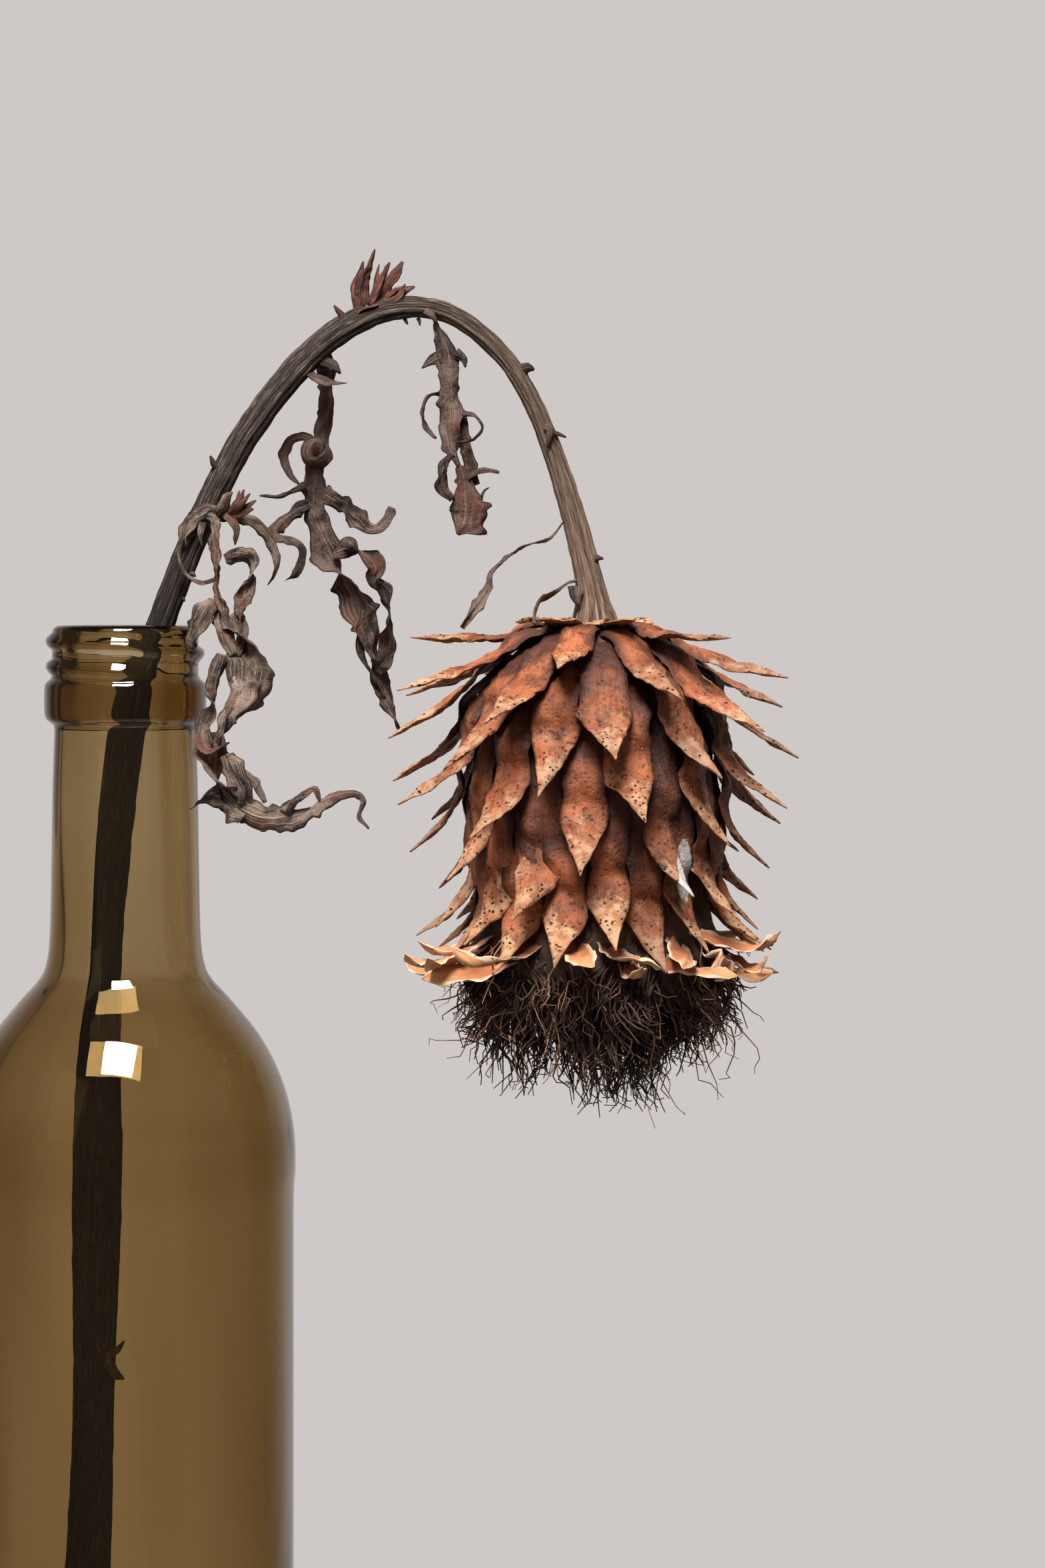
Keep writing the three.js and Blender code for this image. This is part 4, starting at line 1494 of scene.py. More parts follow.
def upper_leaf() -> Foliage:
    """The upper leaf, hung from the arch: a narrow blade with hooked lobes and a ragged foot.

    Returns:
        The leaf.
    """
    return Foliage("leaf_upper", (
        Blade(
            ((60.6, -1.3, 59.4), (61.2, -1.4, 57.6), (62.4, -1.5, 55.2), (63.2, -1.7, 51.5),
             (63.2, -2, 46.2), (63.7, -2.3, 41.6), (63.5, -2.5, 37.9), (64.3, -2.4, 33.8),
             (65.6, -2, 31)),
            (0.8, 2, 3.6, 4.2, 3.9, 4.5, 4.6, 3.4, 2), (0, 10, -5, 5, 0, -20, 10, 60),
            (0.5, 0.3, 0.6, 0.4, 1.0),
        ),
        Blade(
            ((65.2, -1, 42), (66.3, -0.8, 36), (67.4, -0.8, 31), (68.8, -1, 27.4)),
            (2, 2.4, 2.2, 1.2), (20, -20), (0.6, 0.6),
        ),
        Blade(
            ((64.2, -3, 33.2), (62.4, -3.2, 30), (62.2, -2.8, 26.6), (63.9, -2.2, 24.4)),
            (1.6, 3, 2.6, 1), (10, 40), (0.8, 1.1),
        ),
        Blade(
            ((65.4, -2.4, 31), (66.3, -2.6, 28), (66.5, -2.8, 25), (66.8, -2.6, 22),
             (66.2, -2.2, 19.8), (65, -2, 17.6)),
            (1.4, 3.2, 5.4, 7.2, 5.4, 0.6), (0, -10, 5), (1.1, 0.9, 0.5), ragged=0.3, wobble=8,
        ),
        Blade(
            ((62, -1.8, 52.4), (60, -2, 51.6), (58, -2.2, 50)),
            (2.4, 1.8, 0.3), (20, 50), (0.9, 1.2),
        ),
        Blade(
            ((64.4, -1.8, 52.8), (66, -1.9, 51.9), (66.5, -2, 50.2)),
            (2.2, 1.6, 0.3), (0, 30), (0.9, 0.9),
        ),
        Blade(
            ((61.8, -2, 45), (59.4, -2.6, 44.4), (58.3, -2.8, 41.6), (58.8, -2.8, 38.9),
             (60.9, -2.8, 36.4)),
            (2, 1.8, 1.3, 1.8, 0.6), (20, 60, 30), (0.9, 1.1),
        ),
        Blade(
            ((65.2, -2.4, 41.4), (68, -2.8, 41.1), (69.8, -2.8, 38.6), (68.2, -2.8, 36.2),
             (64.8, -3, 35.4)),
            (1.4, 1.1, 1, 1, 0.8), (40, 70, 40), (0.9, 0.9),
        ),
        Blade(
            ((66.6, -2, 28.7), (68.4, -2.2, 30), (70.4, -2.4, 30.3), (73.1, -2.4, 29.8)),
            (1.8, 1.5, 1.2, 0.6), (20, 40), (0.9, 1),
        ),
        Blade(
            ((69.2, -1.4, 23.1), (70, -1.4, 26), (71.2, -1.4, 26.9)),
            (0.9, 0.5, 0.2), (0, 30), (0.9, 0.9),
        ),
    ), Look.DARK_LEAF)


def small_leaves() -> list[Foliage]:
    """The leaflets at the lower node, the two thread-like leaves near the head, and the buds.

    Returns:
        The leaves and buds.
    """
    return [
        Foliage("leaflet_arching", (
            Blade(
                ((18.6, -1.6, 21.4), (22.1, -1, 20.9), (25.4, 0, 19.9), (28.4, 1, 16.7),
                 (29.8, 1.6, 12.9), (29.1, 2, 10.1), (27.7, 2, 7.8)),
                (1.8, 1.8, 2.4, 2.4, 2.0, 1.5, 0.3), (10, 40, 20), (0.8, 1.2, 0.9),
            ),
            Blade(
                ((19.6, -3.4, 22), (21.4, -4.4, 20.4), (22.1, -4.6, 18.4), (21.8, -4.4, 15.6)),
                (1.6, 2, 1.6, 0.3), (0, 20), (0.8, 0.8),
            ),
            Blade(
                ((18.2, -2.8, 21), (19.2, -4, 22.6), (20.2, -4.4, 24.8), (21.2, -4, 26)),
                (2.4, 2.6, 1.8, 0.5), (0, 30), (0.7, 0.9),
            ),
            Blade(
                ((20.5, -3, 21.6), (23, -3.6, 22.4), (25.2, -3.4, 22.4)),
                (1.8, 1.6, 0.3), (20, 50), (0.8, 0.8),
            ),
        )),
        Foliage("leaflet_looped", (
            Blade(
                ((15.8, -3.2, 21.8), (13.6, -4.6, 20.7), (11.6, -5.2, 17), (11, -5.6, 13.9),
                 (12.3, -6, 10.3), (15.2, -6.2, 8.4), (17.8, -6, 8.8)),
                (2.2, 1.9, 1.3, 1.1, 1.1, 1.2, 0.7), (20, 50, 20), (0.9, 0.8),
            ),
            Blade(
                ((18.6, -3.4, 21.4), (16.6, -4.6, 22.2), (14.2, -5, 20.8), (12.0, -5, 18.2),
                 (10.9, -4.6, 15.9)),
                (2.4, 3, 3, 2.4, 0.9), (0, 30, -10), (0.7, 1.1),
            ),
            Blade(
                ((16, -3.8, 20.6), (15.2, -5.4, 18), (15.5, -5.4, 15.3)),
                (1.8, 1.6, 0.4), (0, 30), (0.9, 0.9),
            ),
            Blade(
                ((14.4, -3, 18.8), (12.9, -4.4, 17.4), (12.2, -4.4, 15.2)),
                (2.6, 2, 0.5), (0, 40), (0.9, 0.7),
            ),
        )),
        Foliage("withered_leaf_long", (
            Blade(
                ((85.5, -1, 20), (84, -1.4, 18), (82.3, -2, 16.5), (78.6, -2.4, 15.5),
                 (75.3, -2.6, 13.6), (71.7, -3, 10.3), (70.8, -3, 7), (68, -3, 2.9),
                 (65.6, -3, -0.4)),
                (0.5, 0.5, 0.8, 1, 1.5, 1.2, 1.7, 1.6, 1.5), (0, 60, 120, 180, 240), (1.1, 1.3),
                ragged=0.25,
            ),
        )),
        Foliage("withered_leaf_short", (
            Blade(
                ((88.6, -1.2, 8.8), (86.6, -1.6, 8.2), (84.5, -2, 6.7), (81.9, -2.4, 5.2),
                 (80.4, -2.6, 3.4), (79.8, -2.6, 0.2)),
                (0.6, 0.8, 1, 2, 1.2, 0.8), (0, 40, 90), (0.9, 1.2),
            ),
        )),
        Foliage("bud_lower", tuple(
            Blade(
                ((20.2, -3, 21.2), (10.4 + x / 2, -4 + lean, 10.6 + z / 2), (x, -4.4 + lean, z)),
                (1.2, 1.7, 0.35), (turn, turn + 20), (1.0, 0.8), thickness=0.5, crinkle=0.2, spacing=0.4,
            )
            for x, z, lean, turn in (
                (23.6, 26.4, 0, 10), (24.8, 25.6, -0.9, -20), (25.9, 24.3, 0, 30),
                (22.6, 26.2, 0.9, 50), (25.4, 22.6, -0.6, 0), (24.3, 24.6, -1.5, -40),
            )
        ), Look.BUD),
        Foliage("bud_upper", (
            Blade(
                ((45.2, -1.6, 60.6), (44.9, -2, 65.1), (45.9, -2, 68), (46.6, -2, 70.9)),
                (2.2, 2.2, 1.5, 0.4), (0, 20), (0.9, 0.7),
            ),
            Blade(
                ((46.4, -2, 61.6), (46.4, -2.6, 66.1), (47.6, -2.6, 69.3), (48.9, -2.4, 73.2)),
                (2.6, 3.2, 2.2, 0.3), (0, -15), (1.0, 0.7),
            ),
            Blade(
                ((47.3, -1, 62.2), (48.6, -1, 65.3), (49, -1, 67.5), (49.6, -1, 70.4)),
                (1.6, 1.5, 1.2, 0.3), (0, 40), (0.9, 0.9),
            ),
            Blade(
                ((47.9, -2.6, 62.2), (49.2, -3, 64.8), (50.4, -3, 67.5), (51.8, -2.8, 70.6)),
                (1.6, 2, 1.6, 0.4), (10, -20), (0.9, 0.8),
            ),
            Blade(
                ((48.6, -2, 62), (50.8, -2.6, 65.8), (52.8, -2.6, 68.3), (54.3, -2.4, 70.8)),
                (2, 2.4, 2, 0.5), (0, 20), (1.0, 0.7),
            ),
            Blade(
                ((50, -1.6, 62.2), (52.2, -2, 64.2), (54.3, -2, 65.1), (56.6, -2, 66)),
                (2, 2.4, 2, 0.4), (-10, 10), (0.9, 0.8),
            ),
            Blade(
                ((51, -2.8, 62.6), (53.2, -3, 64), (54.8, -3, 66.4)),
                (1.4, 1.6, 0.4), (0, 30), (0.9, 0.8),
            ),
            Blade(
                ((44.6, -1.2, 59.8), (46.6, -3, 61.4), (49.6, -3.4, 62.6)),
                (1.2, 2.4, 1.2), (30, 60), (0.9, 0.8),
            ),
        ), Look.BUD),
    ]


# ---------------------------------------------------------------- head


def round_skin(profile: Sequence, sides: int, rough: float = 0.0, seed: float = 0.0) -> Skin:
    """Spins a profile of radius and depth round the head's axis, roughened.

    Args:
        profile: Radius and depth pairs, in millimetres.
        sides: Points in each ring.
        rough: How far the surface wanders, in millimetres.
        seed: Moves the roughness pattern.

    Returns:
        The skin.
    """
    rings = []
    for radius, depth in profile:
        ring = []
        for side in range(sides):
            angle = 2 * math.pi * side / sides
            east, north = math.sin(angle), math.cos(angle)
            stray = noise.noise(Vector((east * 2.2, north * 2.2, depth * 0.2 + seed)))
            reach = (radius + rough * stray) * MM
            ring.append(PLACES.head + Vector((reach * east, -reach * north, -depth * MM)))
        rings.append(ring)
    skin = Skin()
    skin.add_rings(np.array(rings), np.zeros((len(rings), sides, 2)), 0.5)
    return skin


@dataclass(frozen=True)
class BractForm:
    """The shape of one bract on the head, in millimetres and radians.

    The tip lies `tip_depth` under the head's top and `flare` outside its surface; the foot lies
    `foot_radius` from the axis at `foot_depth`.
    """

    heading: float
    tip_depth: float
    sunk: float
    flare: float
    foot_radius: float
    foot_depth: float
    width: float
    waist: float
    twist: float
    keel: float
    lift: float = 0.0
    reach: float = 27.0


@dataclass(frozen=True)
class Head:
    """The artichoke head: its surface runs from the stem over the shoulder and down.

    Lengths are in millimetres and angles in radians. Bracts follow a golden-angle spiral, and each
    tip lies one `pitch` below the last until the head's mouth, where they crowd together.
    """

    surface: Sequence[tuple[float, float]] = (
        (4, -3.6), (13, -2), (22.5, 3.8), (28.8, 12.6), (31.5, 27), (31.5, 42), (30.5, 58), (30, 70),
    )
    first_order: int = -5
    named_bracts: int = 44
    inner_bracts: int = 24
    papery_bracts: int = 26
    collar_scales: int = 12
    first_angle: float = math.radians(75)
    zero_depth: float = 8.9
    pitch: float = 1.1
    crowded_depth: float = 58
    crowding: float = 0.3
    shoulder_bracts: int = 14
    foot_proud: float = 0.8
    layer: float = 0.16
    deepest_layer: float = 7.4
    thickness: float = 0.75
    from_tip: Sequence[float] = (0, 2, 4, 7, 10, 13, 16, 19, 22, 26, 32, 42, 70)
    width_shares: Sequence[float] = (
        0.03, 0.11, 0.23, 0.42, 0.64, 0.86, 0.98, 0.93, 0.88, 0.88, 0.92, 0.98, 0.9,
    )
    waist_from: int = 6
    tip_length: float = 26
    tip_wander: float = 2.4
    widest_angle: float = 0.62
    cup_neck: float = 4.5
    cup_reach: float = 17
    cup_top: float = -2
    cup_drop: float = 24

    def surface_point(self, depth: float) -> tuple[int, np.ndarray]:
        """Finds where the surface reaches a depth.

        Args:
            depth: Millimetres under the head's top.

        Returns:
            The place in the dense surface, and the dense surface itself, 0.1 mm apart.
        """
        line = self.dense_surface()
        return int(np.argmax(line[:, 1] >= depth)), line

    def dense_surface(self) -> np.ndarray:
        """Spaces the surface a tenth of a millimetre apart.

        Returns:
            Radius and depth of its points.
        """
        knots = smooth_values(self.surface, 800)
        length = np.linalg.norm(np.diff(knots, axis=0), axis=1).sum()
        return even_route(knots, int(length * 10))[0]

    def line_of(self, form: BractForm) -> np.ndarray:
        """Draws a bract's middle line.

        Args:
            form: The bract's shape.

        Returns:
            Radius and depth of its points, foot first.
        """
        tip, line = self.surface_point(form.tip_depth)

        def at(back: float, out: float) -> tuple[float, float]:
            """Finds a point back from the tip.

            Args:
                back: Millimetres along the surface.
                out: Millimetres outside the sunk surface.

            Returns:
                Its radius and depth.
            """
            index = max(2, tip - int(back * 10))
            along = line[min(index + 1, len(line) - 1)] - line[index - 1]
            along /= np.linalg.norm(along)
            radius, depth = line[index]
            return radius - along[1] * form.sunk + out, depth + along[0] * form.sunk

        reach = min(form.reach, tip / 10 - 5)
        knots = [
            (form.foot_radius, form.foot_depth),
            at(reach * 0.70, 0.9),
            at(reach * 0.46, 0.0),
            at(reach * 0.22, form.flare * 0.34),
            at(0.0, form.flare),
        ]
        rises = (0, 0, 0, form.lift * 0.45, form.lift)
        knots = [(radius, depth - rise) for (radius, depth), rise in zip(knots, rises)]
        return smooth_values(knots, 200)

    def lay_bract(self, skin: Skin, form: BractForm, seed: int) -> None:
        """Adds one bract to a skin.

        Args:
            skin: The skin to grow.
            form: The bract's shape.
            seed: Sets its crinkles and tone.
        """
        flat = even_route(self.line_of(form), 52)[0]
        radii, depths = flat[:, 0] * MM, flat[:, 1] * MM
        out = np.array([math.sin(form.heading), -math.cos(form.heading), 0.0])
        around = np.array([math.cos(form.heading), math.sin(form.heading), 0.0])
        down = np.array([0.0, 0.0, -1.0])
        centres = np.array(PLACES.head) + radii[:, None] * out + depths[:, None] * down
        tangents = unit_tangents(centres)
        ups = np.cross(tangents, around)
        ups *= np.sign(ups @ out + 1e-6 * (ups @ -down))[:, None]
        sides = np.cross(tangents, ups)
        left = left_to_tip(centres) / MM
        shares = np.array(self.width_shares)
        pinch = np.array((0.5, 1.0, 0.5)) * form.waist
        shares[self.waist_from:self.waist_from + 3] *= 1 - pinch
        widths = np.interp(left, self.from_tip, shares) * form.width * MM
        widths = np.minimum(widths, radii * self.widest_angle)
        late = np.clip(1 - left / self.tip_length, 0, 1)
        cups = widths / 2 / np.maximum(radii, 6 * MM) * (1 - late) + form.keel * late
        wander = noise.noise(Vector((seed * 0.77, 0.3, 0.1))) * self.tip_wander * MM * late**2
        turned, lifted = roll_frame(sides, ups, form.twist * late**1.5)
        shape = Blade((), (), thickness=self.thickness, crinkle=0.6, ragged=0.04, across=13)
        lay_ribbon(skin, centres + sides * wander[:, None], turned, lifted, widths, cups, shape, seed)

    def form(self, rank: int) -> BractForm:
        """Works out the shape of a bract from its rank in the spiral.

        Args:
            rank: 0 for the bract nearest the stem.

        Returns:
            The bract's shape.
        """
        chance = random.Random(900 + rank)
        order = self.first_order + rank
        depth = self.zero_depth + self.pitch * order
        if depth > self.crowded_depth:
            depth = self.crowded_depth + (depth - self.crowded_depth) * self.crowding
        high = max(0.0, 1 - rank / self.shoulder_bracts)
        share = 0.08 + 0.78 * min(rank / (self.named_bracts - 1), 1.0)
        foot_radius, foot_depth = self.cup(share * math.pi / 2, self.foot_proud)
        low = np.clip((depth - 28) / 25, 0, 1)
        return BractForm(
            heading=self.first_angle - GOLDEN_ANGLE * order + chance.uniform(-0.05, 0.05),
            tip_depth=depth + chance.uniform(-1.2, 1.2),
            sunk=min(rank * self.layer, self.deepest_layer),
            flare=(10.6 + 2.5 * high) * chance.uniform(0.75, 1.25),
            foot_radius=foot_radius,
            foot_depth=foot_depth,
            width=chance.uniform(8.8, 10.8) * (1 - 0.2 * high),
            waist=low * chance.uniform(0.12, 0.3),
            twist=chance.uniform(-0.45, 0.45),
            keel=chance.uniform(0.2, 0.9),
            lift=3.2 * high * chance.uniform(0.4, 1.3),
        )

    def cup(self, angle: float, proud: float) -> tuple[float, float]:
        """Finds a point on the receptacle's rounded side.

        Args:
            angle: 0 at its top and a quarter turn at its widest.
            proud: Millimetres outside it.

        Returns:
            The point's radius and depth.
        """
        radius = self.cup_neck + (self.cup_reach + proud) * math.sin(angle)
        return radius, self.cup_top + self.cup_drop * (1 - math.cos(angle)) - proud * math.cos(angle)

    def build_bracts(self) -> None:
        """Builds the named bracts, each its own piece, and the joined innermost ones."""
        for rank in range(self.named_bracts):
            skin = Skin()
            self.lay_bract(skin, self.form(rank), 900 + rank)
            name = f"bract_{rank + 1:02d}"
            show(skin.mesh(f"{name}_dried"), f"{name}_dried", Look.BRACT, [name])
        skin = Skin()
        for rank in range(self.named_bracts, self.named_bracts + self.inner_bracts):
            self.lay_bract(skin, self.form(rank), 900 + rank)
        show(skin.mesh("inner_bracts_dried"), "inner_bracts_dried", Look.BRACT, ["inner_bracts"])

    def build_papery(self) -> None:
        """Builds the papery bracts: a thin shoot laid out round the head, each turned its own way."""
        skin = Skin()
        chance = random.Random(77)
        for number in range(self.papery_bracts):
            heading = 2 * math.pi * (number + chance.uniform(-0.3, 0.3)) / self.papery_bracts
            radius = chance.uniform(32, 39.5)
            end = chance.uniform(59, 66.5)
            lean = chance.uniform(-0.5, 0.5)
            end_lift = chance.uniform(-1.6, 2.8)
            knots = (
                (20.5, end - 3.2), (24.0, end - 1.6), (28.0, end - 0.2), (radius - 3.5, end + 0.3),
                (radius, end - end_lift),
            )
            wide = chance.uniform(4.6, 7.6)
            widths = (wide * 0.5, wide * 0.8, wide, wide, wide * 0.72, 0.5)
            blade = Blade(
                self.route(knots, heading, lean), widths, cups=(0.3, 0.2, chance.uniform(-1.3, 0.9)),
                thickness=0.28, crinkle=0.8, ragged=0.07, across=9, spacing=0.8,
            )
            self.lay_outward(skin, blade, heading, 1200 + number)
        show(skin.mesh("papery_bracts_dried"), "papery_bracts_dried", Look.PAPERY, ["papery_bracts"])

    def lay_outward(self, skin: Skin, blade: Blade, heading: float, seed: int) -> None:
        """Lays a blade whose face looks away from the head's axis.

        Args:
            skin: The skin to grow.
            blade: The blade, its route in millimetres.
            heading: The direction that its face starts in.
            seed: Sets its crinkles and tone.
        """
        knots = np.array([PLACES.point(point) for point in blade.route])
        centres, share = even_route(smooth_values(knots, 160), 26)
        tangents = unit_tangents(centres)
        around = np.array([math.cos(heading), math.sin(heading), 0.0])
        ups = np.cross(around, tangents)
        ups /= np.linalg.norm(ups, axis=1)[:, None]
        sides = np.cross(tangents, ups)
        turned, lifted = roll_frame(sides, ups, random.Random(seed).uniform(-0.9, 0.9) * share**1.5)
        widths = read_along(blade.widths, share) * MM
        cups = read_along(blade.cups, share)
        lay_ribbon(skin, centres, turned, lifted, widths, cups, blade, seed)

    def build_receptacle(self) -> None:
        """Builds the fleshy receptacle under the bracts as a rounded, fibrous cup."""
        rows = 26
        profile = [self.cup(row / rows * math.pi / 2, 0) for row in range(rows + 1)]
        profile += [(12, 21.2), (2, 21.0)]
        skin = round_skin(profile, 64, 0.35, 5.0)
        show(skin.mesh("receptacle_dried"), "receptacle_dried", Look.FLESH, ["receptacle"])

    def build_collar(self) -> None:
        """Builds the small pale scales that stand round the foot of the stem."""
        skin = Skin()
        chance = random.Random(41)
        for number in range(self.collar_scales):
            heading = number * GOLDEN_ANGLE + chance.uniform(-0.2, 0.2)
            reach = chance.uniform(9, 21)
            tip = chance.uniform(-3.5, 3.5)
            knots = ((3.4, -1.2), (reach * 0.4, -2.0), (reach * 0.75, tip / 2 - 1.2), (reach, tip))
            blade = Blade(
                self.route(knots, heading, chance.uniform(-0.2, 0.2)),
                (3.5, 5.5, 6.5, 5.0, 2.8, 0.3), cups=(0.4, 0.5), thickness=0.6, crinkle=0.5,
                ragged=0.05, across=9, spacing=0.6,
            )
            self.lay_outward(skin, blade, heading, 1400 + number)
        show(skin.mesh("stem_collar"), "stem_collar", Look.BRACT, [])

    def route(self, knots: Sequence[tuple[float, float]], heading: float, lean: float) -> list[Point]:
        """Turns radius and depth pairs into a route from the rim's middle.

        Args:
            knots: The pairs, in millimetres.
            heading: The direction that the route starts in.
            lean: How far it swings round by its end, in radians.

        Returns:
            The route's points.
        """
        x, y, z = (PLACES.head - Vector((PLACES.axis.x, PLACES.axis.y, PLACES.rim))) / MM
        points = []
        for step, (reach, depth) in enumerate(knots):
            swing = heading + lean * step / (len(knots) - 1)
            points.append((x + reach * math.sin(swing), y - reach * math.cos(swing), z - depth))
        return points

    def build(self) -> None:
        """Builds the head."""
        self.build_receptacle()
        self.build_bracts()
        self.build_papery()
        self.build_collar()


# ---------------------------------------------------------------- tuft


@dataclass(frozen=True)
class Tuft:
    """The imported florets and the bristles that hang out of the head, in millimetres."""

    core: Sequence[tuple[float, float]] = (
        (2, 22.4), (20.2, 22.5), (20.6, 32), (21, 42), (21.6, 50), (22.6, 56), (23.4, 62), (22, 66.4),
        (16, 70.2), (8, 72), (1, 72.4),
    )
    dark_seat: Sequence[tuple[float, float]] = (
        (23, 58), (23.8, 61.5), (23, 65), (18, 68.6), (9, 70.6), (1, 71),
    )
    tan_seat: Sequence[tuple[float, float]] = ((23.4, 57), (24.4, 61), (22.6, 67), (19.5, 70))

    def tree(self, material: bpy.types.Material) -> GrowthTree:
        """Makes the tree that grows wavy bristles out of a seat.

        Args:
            material: The bristles' material.

        Returns:
            The tree.
        """
        g = GrowthTree("floret_bristles")
        count = g.size("Density")
        long = g.size("Length")
        thick = g.size("Thickness")
        spread = g.size("Spread")
        wave = g.size("Waviness")
        droop = g.size("Droop")
        loose = g.size("Looseness")
        middle = g.size("Middle", "Vector")
        seed = g.size("Seed", "Int")
        position = g.add("GeometryNodeInputPosition")
        points = g.add(
            "GeometryNodeDistributePointsOnFaces", None,
            {"Mesh": g.carrier, "Density": count, "Seed": seed},
        )
        strand = g.add("GeometryNodeCurvePrimitiveLine", None, {"End": (0.0, 0.0, 1.0)})
        strand = g.add("GeometryNodeResampleCurve", None, {"Curve": strand, "Count": 13})
        outward = g.vector("SUBTRACT", position, middle)
        outward = g.vector("MULTIPLY", outward, (1.0, 1.0, 0.0))
        reach = g.scale(outward, spread)
        stray = g.add(
            "FunctionNodeRandomValue", {"data_type": "FLOAT_VECTOR"},
            {"Min": (-0.18, -0.18, -0.2), "Max": (0.18, 0.18, 0.2), "Seed": seed},
        )
        from_middle = g.length(outward) * 38.0
        aim = g.vector("ADD", g.vector("ADD", reach, stray), (0.0, 0.0, -1.0))
        turn = g.add("FunctionNodeAlignRotationToVector", {"axis": "Z"}, {"Vector": aim})
        sized = g.add(
            "FunctionNodeRandomValue", {"data_type": "FLOAT"},
            {2: 0.5, 3: 1.0, "Seed": seed}, 1,
        )
        sized = sized * long * (1.0 - from_middle * from_middle * 0.6)
        hair = g.add(
            "GeometryNodeInstanceOnPoints", None,
            {"Points": points, "Instance": strand, "Rotation": turn,
             "Scale": g.combine(sized, sized, sized)},
        )
        hair = g.add("GeometryNodeRealizeInstances", None, {0: hair})
        run = g.add("GeometryNodeSplineParameter")
        which = g.add("GeometryNodeCurveOfPoint", output=0)
        shift = g.combine(which * 0.37, which * 0.11, which * 0.23)
        shift = g.scale(shift, loose)
        sway = g.drift(g.vector("ADD", g.scale(position, 75.0), shift))
        curl = g.drift(g.vector("ADD", g.scale(position, 330.0), shift))
        push = g.vector("ADD", g.scale(sway, run * wave), g.scale(curl, run * run * wave * 0.45))
        fall = g.combine(0.0, 0.0, run * run * droop * -1.0)
        swayed = {"Geometry": hair, "Offset": g.vector("ADD", push, fall)}
        hair = g.add("GeometryNodeSetPosition", None, swayed)
        section = g.add("GeometryNodeCurvePrimitiveCircle", None, {"Resolution": 3, "Radius": 1.0})
        hair = g.add(
            "GeometryNodeCurveToMesh", None,
            {"Curve": hair, "Profile Curve": section, "Scale": thick * (1.0 - run * 0.7),
             "Fill Caps": True},
        )
        hair = g.add("GeometryNodeSetShadeSmooth", None, {"Geometry": hair})
        g.finish_with(hair, material)
        return g

    def seat(self, profile: Sequence[tuple[float, float]]) -> bpy.types.Object:
        """Makes the surface that bristles grow from."""
        return add_object("bristle_seat", round_skin(profile, 48).mesh("bristle_seat"))

    def build(self) -> None:
        """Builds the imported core, the dark bristles and the paler tangle over them."""
        core = round_skin(smooth_values(self.core, 60), 90, 1.6, 9.0).mesh("floret_core")
        core.materials.append(Look.DARK_BRISTLE.value.build())
        dark = self.tree(Look.DARK_BRISTLE.value.build()).grow(
            self.seat(self.dark_seat), Density=420000.0, Length=16 * MM, Thickness=0.36 * MM,
            Spread=15.0, Waviness=33 * MM, Droop=3 * MM, Looseness=0.002,
            Middle=tuple(PLACES.head), Seed=3,
        )
        tuft = join_meshes("floret_tuft_dried", [core, dark])
        show(tuft, "floret_tuft_dried", Look.DARK_BRISTLE, ["floret_tuft"])
        tangle = self.tree(Look.TAN_BRISTLE.value.build()).grow(
            self.seat(self.tan_seat), Density=60000.0, Length=17 * MM, Thickness=0.26 * MM,
            Spread=24.0, Waviness=42 * MM, Droop=3 * MM, Looseness=1.0,
            Middle=tuple(PLACES.head), Seed=11,
        )
        show(tangle, "tuft_tangle", Look.TAN_BRISTLE, [])


# ---------------------------------------------------------------- studio


@dataclass(frozen=True)
class Lamp:
    """A square soft light, its angles in degrees and its lengths in metres.

    Azimuth runs from the viewer round to the right, and rise up from the horizon; `glossy` says
    whether the light shows in shiny surfaces.
    """

    name: str
    azimuth: float
    rise: float
    away: float
    size: float
    watts: float
    glossy: bool = True

    def hang(self, aim: Vector) -> None:
        """Hangs the light.

        Args:
            aim: What it points at.
        """
        data = bpy.data.lights.new(self.name, "AREA")
        data.size = self.size
        data.energy = self.watts
        turn, lift = math.radians(self.azimuth), math.radians(self.rise)
        level = math.cos(lift)
        out = Vector((math.sin(turn) * level, -math.cos(turn) * level, math.sin(lift)))
        lamp = add_object(self.name, data)
        lamp.location = aim + out * self.away
        lamp.rotation_euler = out.to_track_quat("Z", "Y").to_euler()
        lamp.visible_glossy = self.glossy


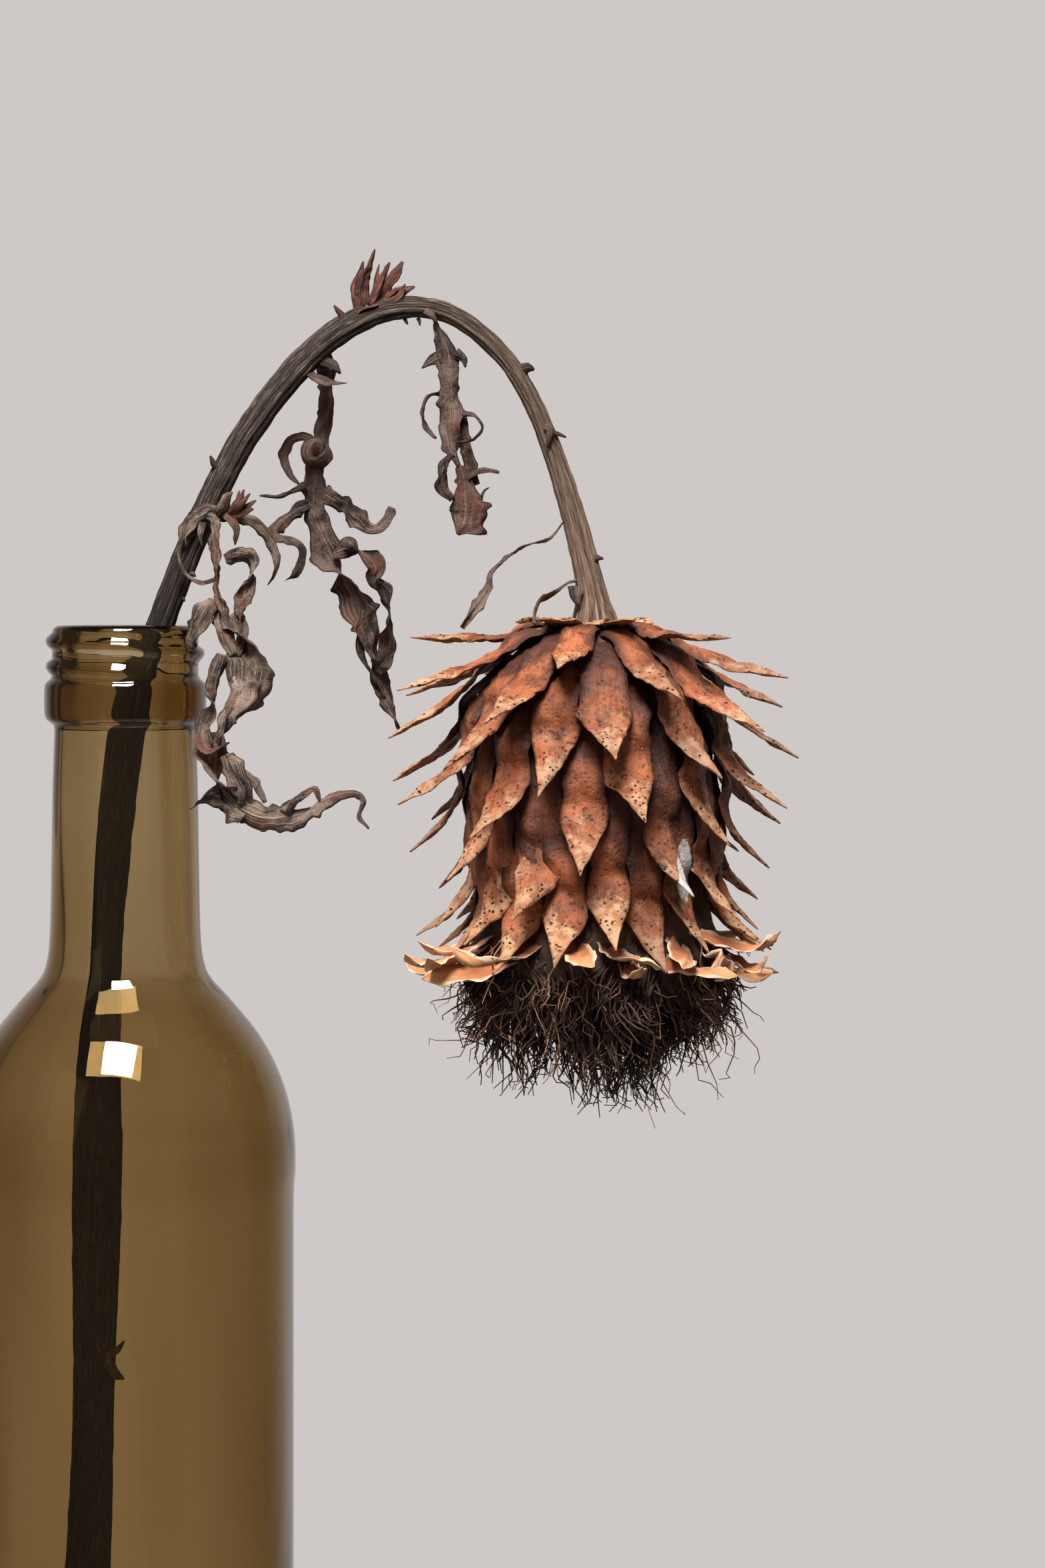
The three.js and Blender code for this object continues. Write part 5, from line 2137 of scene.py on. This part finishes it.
@dataclass(frozen=True)
class Studio:
    """The camera, the soft window light and the pale table."""

    distance: float = 0.70
    frame_height: float = 0.30625
    centre_x: float = 0.0776
    centre_below_rim: float = 0.031
    eye_above_rim: float = 0.003
    aim_x: float = 0.05
    aim_below_rim: float = 0.02
    sensor: float = 36.0
    backdrop: Colour = srgb(206, 201, 198)
    room: Colour = srgb(88, 84, 82)
    table_sides: int = 96
    lamps: Sequence[Lamp] = (
        Lamp("window", -6.0, 54.0, 0.9, 0.34, 17.0),
        Lamp("front_fill", -40.0, 22.0, 1.3, 1.0, 4.0, glossy=False),
        Lamp("top_fill", 20.0, 80.0, 1.2, 0.8, 3.0, glossy=False),
    )

    def camera(self) -> None:
        """Sets a level camera, its view shifted down to the object's middle."""
        data = bpy.data.cameras.new("camera")
        data.sensor_width = self.sensor
        data.lens = self.sensor * self.distance / self.frame_height
        data.shift_y = -(self.centre_below_rim + self.eye_above_rim) / self.frame_height
        data.clip_start = 0.01
        camera = add_object("camera", data)
        middle = PLACES.axis.x + self.centre_x
        camera.location = (middle, PLACES.axis.y - self.distance, PLACES.rim + self.eye_above_rim)
        camera.rotation_euler = (math.radians(90), 0, 0)
        bpy.context.scene.camera = camera

    def light(self) -> None:
        """Hangs the lights and sets the backdrop, bright behind the object and dim elsewhere."""
        aim = Vector((PLACES.axis.x + self.aim_x, PLACES.axis.y, PLACES.rim - self.aim_below_rim))
        for lamp in self.lamps:
            lamp.hang(aim)
        world = bpy.data.worlds.new("backdrop")
        world.use_nodes = True
        room = Graph(world.node_tree)
        heading = room.add("ShaderNodeTexCoord", output="Generated")
        ahead = room.add("ShaderNodeSeparateXYZ", None, {0: heading}, 1)
        through = room.add("ShaderNodeLightPath", output="Is Transmission Ray")
        seen = room.add("ShaderNodeLightPath", output="Is Camera Ray")
        past_glass = room.band(room.maths("ABSOLUTE", ahead), 0.5, 0.93) * through
        past_air = room.band(ahead, 0.4, 0.95) * (1.0 - through)
        glow = room.mix(room.maths("MAXIMUM", past_air, past_glass), self.room, self.backdrop)
        background = world.node_tree.nodes["Background"]
        room.feed(background.inputs["Color"], room.mix(seen, glow, self.backdrop))
        bpy.context.scene.world = world
        bpy.context.scene.view_settings.view_transform = "Standard"

    def floor(self) -> None:
        """Lays the pale round table under the bottle."""
        radius = Look.FLOOR.value.radius
        turns = [2 * math.pi * side / self.table_sides for side in range(self.table_sides)]
        rim = [(radius * math.cos(turn), radius * math.sin(turn), 0) for turn in turns]
        mesh = make_mesh("table_top", rim, [tuple(range(self.table_sides))])
        mesh.materials.append(Look.FLOOR.value.build())
        add_object("table_top", mesh)

    def build(self) -> None:
        """Builds the studio."""
        self.camera()
        self.light()
        self.floor()


def main() -> None:
    """Builds every part of the object in order, and then the studio."""
    logging.basicConfig(level=logging.INFO, format="%(name)s: %(message)s")
    Bottle().build()
    Stem().build()
    leaves = [lower_leaf(), middle_leaf(), upper_leaf(), *small_leaves()]
    for seed, leaf in enumerate(leaves, start=1):
        leaf.build(seed)
    Head().build()
    Tuft().build()
    Studio().build()


if __name__ == "__main__":
    main()
